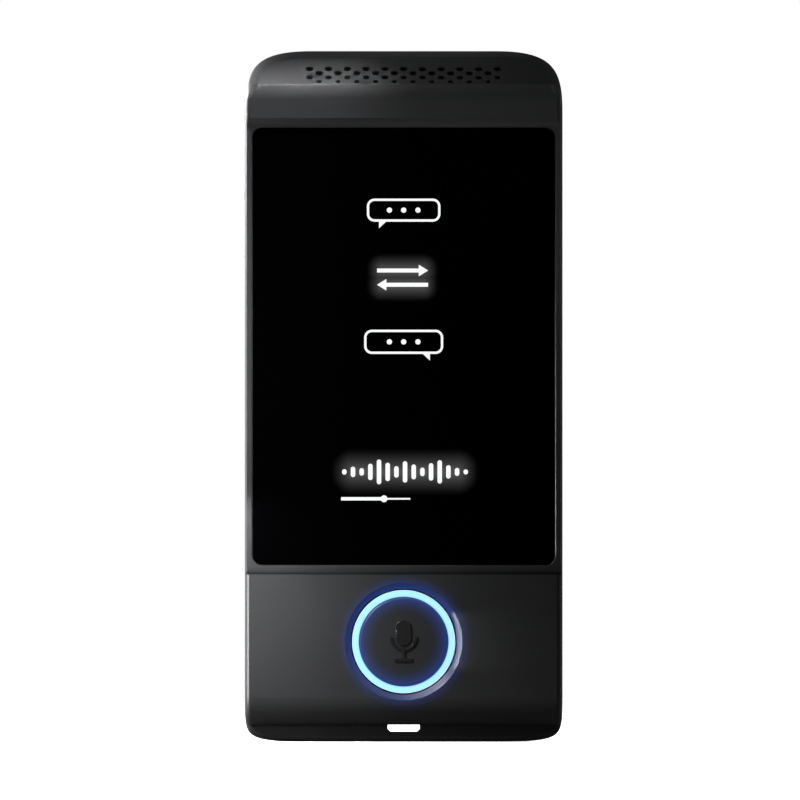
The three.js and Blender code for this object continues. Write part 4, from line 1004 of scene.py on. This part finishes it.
class Nodes:
    """Short calls that add nodes to a tree."""

    def __init__(self, tree):
        self.tree = tree

    def node(self, kind, values=(), **settings):
        made = self.tree.nodes.new(kind)
        for name, value in settings.items():
            setattr(made, name, value)
        for socket, value in dict(values).items():
            self.put(made.inputs[socket], value)
        return made

    def put(self, socket, value):
        if isinstance(value, bpy.types.NodeSocket):
            self.tree.links.new(value, socket)
        else:
            socket.default_value = value

    def math(self, operation, a, b=0.0, clamp=False):
        return self.node("ShaderNodeMath", {0: a, 1: b}, operation=operation, use_clamp=clamp).outputs[0]

    def vector(self, operation, a, b=(0, 0, 0), output="Vector"):
        return self.node("ShaderNodeVectorMath", {0: a, 1: b}, operation=operation).outputs[output]


class Paint(Nodes):
    """A procedural material."""

    def __init__(self, name, color, roughness, metallic=0.0, specular=0.5):
        self.material = bpy.data.materials.new(name)
        self.material.use_nodes = True
        super().__init__(self.material.node_tree)
        self.shader = self.tree.nodes["Principled BSDF"]
        for socket, value in {
                "Base Color": (*color, 1), "Roughness": roughness, "Metallic": metallic,
                "Specular IOR Level": specular}.items():
            self.set(socket, value)
        self.place = self.tree.nodes.new("ShaderNodeTexCoord").outputs["Object"]

    def set(self, name, value):
        self.put(self.shader.inputs[name], value)

    def noise(self, size, detail):
        """Noise with features of about a size in millimetres."""
        values = {"Vector": self.place, "Scale": 1 / (size * MM), "Detail": detail}
        return self.node("ShaderNodeTexNoise", values).outputs["Fac"]

    def spread(self, value, low, high):
        """A 0 to 1 value taken to another span."""
        values = {"Value": value, "To Min": low, "To Max": high}
        return self.node("ShaderNodeMapRange", values).outputs["Result"]

    def mix(self, share, a, b):
        a, b = ((*color, 1) if isinstance(color, tuple) else color for color in (a, b))
        made = self.node("ShaderNodeMix", {}, data_type="RGBA")
        for socket, value in {"Factor": share, "A": a, "B": b}.items():
            self.put(made.inputs[socket], value)
        return made.outputs["Result"]

    def fade(self, away, reach, power):
        """1 where a distance in metres is 0, falling to 0 at a reach in millimetres."""
        share = self.math("SUBTRACT", 1.0, self.math("DIVIDE", away, reach * MM), clamp=True)
        return self.math("POWER", share, power)

    def glow(self, color, strength):
        self.set("Emission Color", (*color, 1) if isinstance(color, tuple) else color)
        self.set("Emission Strength", strength)

    def bump(self, height, strength, distance):
        values = {"Height": height, "Strength": strength, "Distance": distance * MM}
        self.set("Normal", self.node("ShaderNodeBump", values).outputs["Normal"])

    def offset_from(self, centre):
        """The way in X and Z from [x, z] in millimetres."""
        offset = self.vector("SUBTRACT", self.place, (centre[0] * MM, 0, centre[1] * MM))
        return self.vector("MULTIPLY", offset, (1, 0, 1))

    def radius_from(self, centre):
        """Distance in metres from an axis along Y through [x, z] in millimetres."""
        return self.vector("LENGTH", self.offset_from(centre), output="Value")

    def box_distance(self, middle, size):
        """Distance in metres outside a rectangle in X and Z."""
        past = self.vector("SUBTRACT", self.vector("ABSOLUTE", self.offset_from(middle)),
                           (size[0] / 2 * MM, 0, size[1] / 2 * MM))
        return self.vector("LENGTH", self.vector("MAXIMUM", past), output="Value")


# Noise is given as the size of its features in millimetres and its detail
WHITE = (1, 1, 1)
CASE_COLOR = (0.0225, 0.023, 0.024)
# The rear colour is a darker copy of the case colour: painted shade for the lip below the chin, and the
# back takes the same darker tone
REAR_COLOR = (0.0145, 0.0148, 0.0155)
CASE_ROUGHNESS = 0.4
CASE_GRAIN = (0.16, 3)
CASE_GRAIN_ROUGHNESS = (-0.04, 0.05)
CASE_GRAIN_STRENGTH = 0.25
CASE_GRAIN_RELIEF = 0.02
CASE_PATCHES = (9, 2)
CASE_PATCH_ROUGHNESS = (0.36, 0.42)
CASE_PATCH_SHARES = (0.9, 1.1)
# Painted light: strength of the ring's glow painted as emission on the case and on the button
SHELL_GLOW = 0.34
BUTTON_GLOW = 0.32
RING_BLUE = (0.01, 0.09, 0.6)
RING_COLOR = (0.05, 0.1, 0.12)
RING_ROUGHNESS = 0.3
RING_MIDDLE = (0.43, 0.86, 0.97)
RING_SIDES_COLOR = (0.32, 0.64, 0.92)
RING_SIDES_POWER = 3
RING_RIM_POWER = 16
RING_RIM_DIM = 0.75
RING_GLOW_REACH = 3.4
RING_GLOW_FALL = 2.25
RING_GLOW_DEPTH = 3
GLASS_COLOR = (0.0003, 0.0003, 0.0004)
GLASS_ROUGHNESS = 0.03
GLASS_SPECULAR = 0.12
GLASS_SMEARS = (14, 4)
GLASS_SMEAR_ROUGHNESS = (0.02, 0.07)
DISPLAY_COLOR = (0.02, 0.02, 0.02)
DISPLAY_ROUGHNESS = 0.4
DISPLAY_ROWS = (0.3, 1)
DISPLAY_LIGHT = ((0.96, 0.98, 1.0), (1.0, 1.0, 1.0))
# Painted light on the glass round the lit lines: its strength, reach and fall
SIGN_GLOW = 0.075
ARROW_GLOW_REACH = 3
WAVE_GLOW_REACH = 4.2
SIGN_GLOW_FALL = 2
LENS_COLOR = (0.004, 0.004, 0.006)
LENS_RIM_COLOR = (0.003, 0.003, 0.004)
LENS_ROUGHNESS = 0.04
LENS_SMEARS = (3, 3)
LENS_SMEAR_ROUGHNESS = (0.03, 0.08)
LENS_RINGS = ((2.9, (0.012, 0.012, 0.013)), (2.5, (0.002, 0.002, 0.002)), (1.75, (0.03, 0.03, 0.032)),
              (1.6, (0.002, 0.002, 0.004)), (1.0, (0.01, 0.008, 0.03)), (0.55, (0.001, 0.001, 0.002)))
PLAIN_DARK_SHARE = 0.8
PLAIN_GRAIN_DETAIL = 3
PLAIN_GRAIN_ROUGHNESS = 0.06
PLAIN_GRAIN_STRENGTH = 0.2
PLAIN_ROUGHNESS_LEAST = 0.02
# The pictogram's finish is glossier than the case, and its darker colour is painted shade, standing for
# the dark of an engraved mark
SYMBOL_FINISH_AND_SHADE = ((0.015, 0.015, 0.016), 0.25, 0, 0.3, 0.004)


def ring_glow_on(paint, strength, start):
    """Painted light: the ring's glow spilling over a face next to it, laid on as emission that fades with
    distance from it.
    """
    away = paint.math("ABSOLUTE", paint.math("SUBTRACT", paint.radius_from(BUTTON_CENTRE), start * MM))
    depth = paint.node("ShaderNodeSeparateXYZ", {0: paint.place}).outputs["Y"]
    on_front = paint.math("LESS_THAN", depth, (FRONT + RING_GLOW_DEPTH) * MM)
    spill = paint.math("MULTIPLY", paint.fade(away, RING_GLOW_REACH, RING_GLOW_FALL), on_front)
    paint.glow(RING_BLUE, paint.math("MULTIPLY", spill, strength))


def case_plastic(name, glow_start=RING_OUTER, glow=0, color=CASE_COLOR):
    """Near-black moulded plastic with a fine spark-eroded grain, and where glow is given, the ring's glow
    painted on it as emission.
    """
    paint = Paint(name, color, CASE_ROUGHNESS)
    grain, patches = paint.noise(*CASE_GRAIN), paint.noise(*CASE_PATCHES)
    darker, lighter = (tuple(c * share for c in color) for share in CASE_PATCH_SHARES)
    paint.set("Base Color", paint.mix(patches, darker, lighter))
    paint.set("Roughness", paint.math(
        "ADD", paint.spread(grain, *CASE_GRAIN_ROUGHNESS), paint.spread(patches, *CASE_PATCH_ROUGHNESS)))
    paint.bump(grain, CASE_GRAIN_STRENGTH, CASE_GRAIN_RELIEF)
    if glow:
        ring_glow_on(paint, glow, glow_start)
    return paint.material


def screen_glass():
    """Black glass, with a painted glow round the lines of the arrows and the wave, as emission that
    stands in for their light spreading.
    """
    paint = Paint("screen_glass", GLASS_COLOR, GLASS_ROUGHNESS, specular=GLASS_SPECULAR)
    paint.set("Roughness", paint.spread(paint.noise(*GLASS_SMEARS), *GLASS_SMEAR_ROUGHNESS))
    lines = [(place, ARROWS["size"][0] - ARROW_HEAD, ARROW_GLOW_REACH) for _, place in arrow_places()]
    lines.append((WAVE["middle"], WAVE["size"][0] - WAVE["size"][1], WAVE_GLOW_REACH))
    glow = 0.0
    for place, length, reach in lines:
        away = paint.box_distance(place, (length, ARROW_SHAFT))
        glow = paint.math("MAXIMUM", glow, paint.fade(away, reach, SIGN_GLOW_FALL))
    paint.glow(WHITE, paint.math("MULTIPLY", glow, SIGN_GLOW))
    return paint.material


def sign_light():
    """Lit display dots, a touch uneven from row to row."""
    paint = Paint("sign_light", DISPLAY_COLOR, DISPLAY_ROUGHNESS)
    paint.glow(paint.mix(paint.noise(*DISPLAY_ROWS), *DISPLAY_LIGHT), 1.0)
    return paint.material


def ring_light():
    """Pale blue light, whiter in the middle of the ring and dim at its very rims."""
    paint = Paint("ring_light", RING_COLOR, RING_ROUGHNESS)
    radius = paint.radius_from(BUTTON_CENTRE)
    across = paint.math("DIVIDE", paint.math("SUBTRACT", radius, RING_INNER * MM), RING_WIDTH * MM)
    off_middle = paint.math("ABSOLUTE", paint.math("SUBTRACT", paint.math("MULTIPLY", across, 2.0), 1.0))
    color = paint.mix(paint.math("POWER", off_middle, RING_SIDES_POWER), RING_MIDDLE, RING_SIDES_COLOR)
    rim = paint.math("POWER", off_middle, RING_RIM_POWER)
    paint.glow(color, paint.math("SUBTRACT", 1.0, paint.math("MULTIPLY", rim, RING_RIM_DIM)))
    return paint.material


def camera_glass():
    """Dark glass with the rings of a coated lens behind it."""
    paint = Paint("camera_glass", LENS_COLOR, LENS_ROUGHNESS)
    radius = paint.math("DIVIDE", paint.radius_from(round_node("camera_window")[-1]), MM)
    color = LENS_RIM_COLOR
    for outer, tint in LENS_RINGS:
        color = paint.mix(paint.math("LESS_THAN", radius, outer), color, tint)
    paint.set("Base Color", color)
    paint.set("Roughness", paint.spread(paint.noise(*LENS_SMEARS), *LENS_SMEAR_ROUGHNESS))
    return paint.material


def grained(name, color, roughness, metallic, size, relief):
    """A plain finish with a fine grain, for hidden and small pieces."""
    paint = Paint(name, color, roughness, metallic)
    grain = paint.noise(size, PLAIN_GRAIN_DETAIL)
    darker = tuple(c * PLAIN_DARK_SHARE for c in color)
    low, high = roughness - PLAIN_GRAIN_ROUGHNESS, roughness + PLAIN_GRAIN_ROUGHNESS
    paint.set("Base Color", paint.mix(grain, darker, color))
    paint.set("Roughness", paint.spread(grain, max(low, PLAIN_ROUGHNESS_LEAST), high))
    paint.bump(grain, PLAIN_GRAIN_STRENGTH, relief)
    return paint.material


# Plain finishes: colour, roughness, metallic, and the grain's size and relief in millimetres
PLAIN_FINISHES = {
    "rubber": ((0.018, 0.018, 0.019), 0.75, 0, 0.2, 0.01),
    "foam": ((0.03, 0.03, 0.03), 0.95, 0, 0.15, 0.05),
    "steel": ((0.58, 0.6, 0.62), 0.32, 1, 0.4, 0.01),
    "dark_steel": ((0.05, 0.05, 0.055), 0.4, 1, 0.3, 0.01),
    "magnesium": ((0.42, 0.43, 0.45), 0.5, 1, 0.3, 0.02),
    "board_green": ((0.015, 0.075, 0.04), 0.4, 0, 0.5, 0.01),
    "black_plastic": ((0.015, 0.015, 0.016), 0.5, 0, 0.2, 0.01),
    "copper_flex": ((0.35, 0.14, 0.04), 0.4, 0, 0.5, 0.01),
    "foil": ((0.6, 0.61, 0.63), 0.3, 1, 0.8, 0.02),
    "adhesive": ((0.7, 0.67, 0.6), 0.8, 0, 0.4, 0.01),
    "white_plastic": ((0.8, 0.81, 0.82), 0.45, 0, 0.3, 0.01),
    "gold": ((0.7, 0.48, 0.18), 0.3, 1, 0.3, 0.01),
    "flash_plastic": ((0.75, 0.7, 0.5), 0.25, 0, 0.5, 0.01),
}


def dress_frame():
    """Each CAD node whose slot in the record has a plain finish here gets that finish."""
    finishes = {slot: grained(slot, *values) for slot, values in PLAIN_FINISHES.items()}
    slots = {part["node"]: part["material_slot"] for part in frame["record"]["subparts"]}
    for name, node in frame["nodes"].items():
        if slots[name] in finishes:
            node.data.materials.clear()
            node.data.materials.append(finishes[slots[name]])
    return finishes


# Stage

CAMERA_FAR = 6000
CAMERA_LENS = 1480
CAMERA_PLACE = (-0.67, -CAMERA_FAR, 62.3)
CAMERA_CLIP = 20

OBJECT_MIDDLE = (0, 0, 63)

# Soft lamps: place, target and [width, height] in millimetres, power in watts
SOFT_LAMPS = {
    "chin": ((-28, -33, 22), (-28, 0, 18), (6, 16), 0.0074),
    "chin_high": ((-30, -16, 42), (-28, -5, 12), (6, 12), 0.006),
    "chin_top": ((-28, -33, 35), (-28, 0, 35), (6, 24), 0.0036),
    "side_low": ((-28, -33, 60), (-28, 0, 60), (6, 24), 0.0073),
    "side_high": ((-28, -33, 84), (-28, 0, 84), (6, 24), 0.0072),
    "slant": ((-30, -20.5, 178), (-30, -8.5, 119), (44, 3), 0.012),
    "slant_top": ((-6, -18, 150), (-6, -3, 120), (30, 10), 0.0055),
    "brow": ((12, -60, 96), (12, -7, 115), (70, 8), 0.0125),
    "well": ((6.6, -7.62, 18.4), (11, -7.62, 18.4), (0.2, 10), 0.001),
    "high_right": ((260, -120, 520), OBJECT_MIDDLE, (250, 250), 0.2),
    "right_fill": ((320, 300, 160), OBJECT_MIDDLE, (260, 260), 3),
    "rear": ((-380, 420, 260), OBJECT_MIDDLE, (260, 260), 5),
}
# The lamps that are mirrored too: the others light as from behind a matt screen
SHINING_LAMPS = ("high_right", "rear")
# Lamps whose light spreads over less than a half turn, with the angle in degrees
NARROW_LAMPS = {"slant": 24, "well": 30}
FULL_SPREAD = 180

# Cone lamps: place and target, half the cone's angle in degrees, power in watts
CONE_LAMPS = {
    "key_left": ((-405, -235, 459), (-75, -7, 15), 9, 28),
    "left_edge": ((-400, 0, 18), (-29, 0, 18), 9.5, 7.6),
    "key_high": ((-180, -277, 537), (-60, -7, 15), 8, 7),
}
CONE_SOFTNESS = 30

# The white surroundings, and how much of them the object gets
WORLD_FILL = 0.05
REFLECTED_SIDE = (-0.8, 0.6, 0)
REFLECTED_START = 0.5
REFLECTED_FULL = 0.97
FLOOR_HALF = 900
FLOOR_SHADE = 0.8
FLOOR_ROUGHNESS = 0.9
FLOOR_SPECULAR = 0.1
FLOOR_BOUNCE = 0.05
FLOOR_LIGHT_NEAR = 0.6
FLOOR_LIGHT_FAR = 1
FLOOR_NEAR = 80
FLOOR_FAR = 450
FLOOR_GLOSS_SHARE = 0.06


def camera():
    data = bpy.data.cameras.new("camera")
    data.lens = CAMERA_LENS
    data.clip_end = CAMERA_CLIP
    made = shown("camera", data)
    made.location = Vector(CAMERA_PLACE) * MM
    made.rotation_euler = (pi / 2, 0, 0)
    bpy.context.scene.camera = made


def hang(name, kind, place, target, power, shine, **settings):
    """A lamp turned to a target."""
    data = bpy.data.lights.new(name, kind)
    data.energy = power
    for setting, value in settings.items():
        setattr(data, setting, value)
    made = shown(name, data)
    made.location = Vector(place) * MM
    made.rotation_euler = (Vector(target) - Vector(place)).to_track_quat("-Z", "Y").to_euler()
    made.visible_glossy = shine
    made.visible_camera = False


def soft_lamp(name, place, target, size, power):
    spread = radians(NARROW_LAMPS.get(name, FULL_SPREAD))
    hang(name, "AREA", place, target, power, name in SHINING_LAMPS,
         shape="RECTANGLE", size=size[0] * MM, size_y=size[1] * MM, spread=spread)


def cone_lamp(name, place, target, half_angle, power):
    """A lamp whose light fades from the middle of its cone to the edge."""
    hang(name, "SPOT", place, target, power, True,
         spot_size=2 * radians(half_angle), spot_blend=1, shadow_soft_size=CONE_SOFTNESS * MM)


def world():
    """White behind the object, and reflected only from the back left, so that the front stays dark."""
    made = bpy.data.worlds.new("studio")
    bpy.context.scene.world = made
    made.use_nodes = True
    nodes = Nodes(made.node_tree)
    nodes.tree.nodes.clear()
    path = nodes.node("ShaderNodeLightPath").outputs
    way = nodes.node("ShaderNodeTexCoord").outputs["Generated"]
    toward = nodes.vector("DOT_PRODUCT", way, Vector(REFLECTED_SIDE).normalized(), "Value")
    share = nodes.node("ShaderNodeMapRange", {
        "Value": toward, "From Min": REFLECTED_START, "From Max": REFLECTED_FULL},
        interpolation_type="SMOOTHSTEP").outputs["Result"]
    reflected = nodes.math("MAXIMUM", path["Is Glossy Ray"], path["Is Transmission Ray"])
    white = nodes.math("MAXIMUM", path["Is Camera Ray"], nodes.math("MULTIPLY", reflected, share))
    fill = nodes.math("MULTIPLY", path["Is Diffuse Ray"], WORLD_FILL)
    strength = nodes.math("MAXIMUM", white, fill)
    background = nodes.node("ShaderNodeBackground", {"Color": (*WHITE, 1), "Strength": strength})
    nodes.node("ShaderNodeOutputWorld", {"Surface": background.outputs[0]})


def floor():
    """A pale floor that is white to the camera and keeps the shadow, and throws little light back up."""
    low, high = -FLOOR_HALF, FLOOR_HALF
    mesh = raw_mesh(([(low, low, 0), (high, low, 0), (high, high, 0), (low, high, 0)], [(0, 1, 2, 3)]))
    made = shown("floor", mesh)
    low_shade, shade = ((value,) * 3 for value in (FLOOR_BOUNCE, FLOOR_SHADE))
    paint = Paint("floor", shade, FLOOR_ROUGHNESS, specular=FLOOR_SPECULAR)
    path = paint.node("ShaderNodeLightPath").outputs
    reflected = paint.math("MAXIMUM", path["Is Glossy Ray"], path["Is Transmission Ray"])
    paint.set("Base Color", paint.mix(path["Is Camera Ray"], low_shade, shade))
    away = paint.vector("LENGTH", paint.place, output="Value")
    light = paint.node("ShaderNodeMapRange", {
        "Value": away, "From Min": FLOOR_NEAR * MM, "From Max": FLOOR_FAR * MM,
        "To Min": FLOOR_LIGHT_NEAR, "To Max": FLOOR_LIGHT_FAR}).outputs["Result"]
    mirrored = paint.math("MULTIPLY", reflected, FLOOR_GLOSS_SHARE)
    seen = paint.math("MAXIMUM", path["Is Camera Ray"], mirrored)
    paint.glow(WHITE, paint.math("MULTIPLY", seen, light))
    mesh.materials.append(paint.material)


# Assembly

finishes = dress_frame()
key_plastic = case_plastic("key_plastic")
front_housing(case_plastic("case_plastic", glow=SHELL_GLOW))
# The rear housing's darker plastic paints the shade that falls on the lip below the chin
rear_housing(case_plastic("rear_plastic", color=REAR_COLOR))
cover_glass(screen_glass())
screen_signs(sign_light())
talk_button(case_plastic("button_plastic", glow_start=RING_INNER, glow=BUTTON_GLOW))
# The symbol's darker colour is painted shade; its gloss and grain are its finish
microphone_symbol(grained("symbol_gloss_and_shade", *SYMBOL_FINISH_AND_SHADE))
light_ring(ring_light())
side_key("power_key", "power_key_cap", 1, "power_button", key_plastic, POWER_FLANGE_GAP, [0])
side_key("volume_rocker", "volume_rocker_cap", -1, "rocker", key_plastic, ROCKER_FLANGE_GAP,
         [ROCKER_NUB_REACH, -ROCKER_NUB_REACH], marks=True)
usb_socket(finishes["steel"], finishes["black_plastic"], finishes["gold"])
camera_window(finishes["dark_steel"], camera_glass())
flash_lens(finishes["flash_plastic"])
screw_plugs(finishes["rubber"])

camera()
for lamp_name, values in SOFT_LAMPS.items():
    soft_lamp(lamp_name, *values)
for lamp_name, values in CONE_LAMPS.items():
    cone_lamp(lamp_name, *values)
world()
floor()
bpy.context.scene.view_settings.view_transform = "Standard"
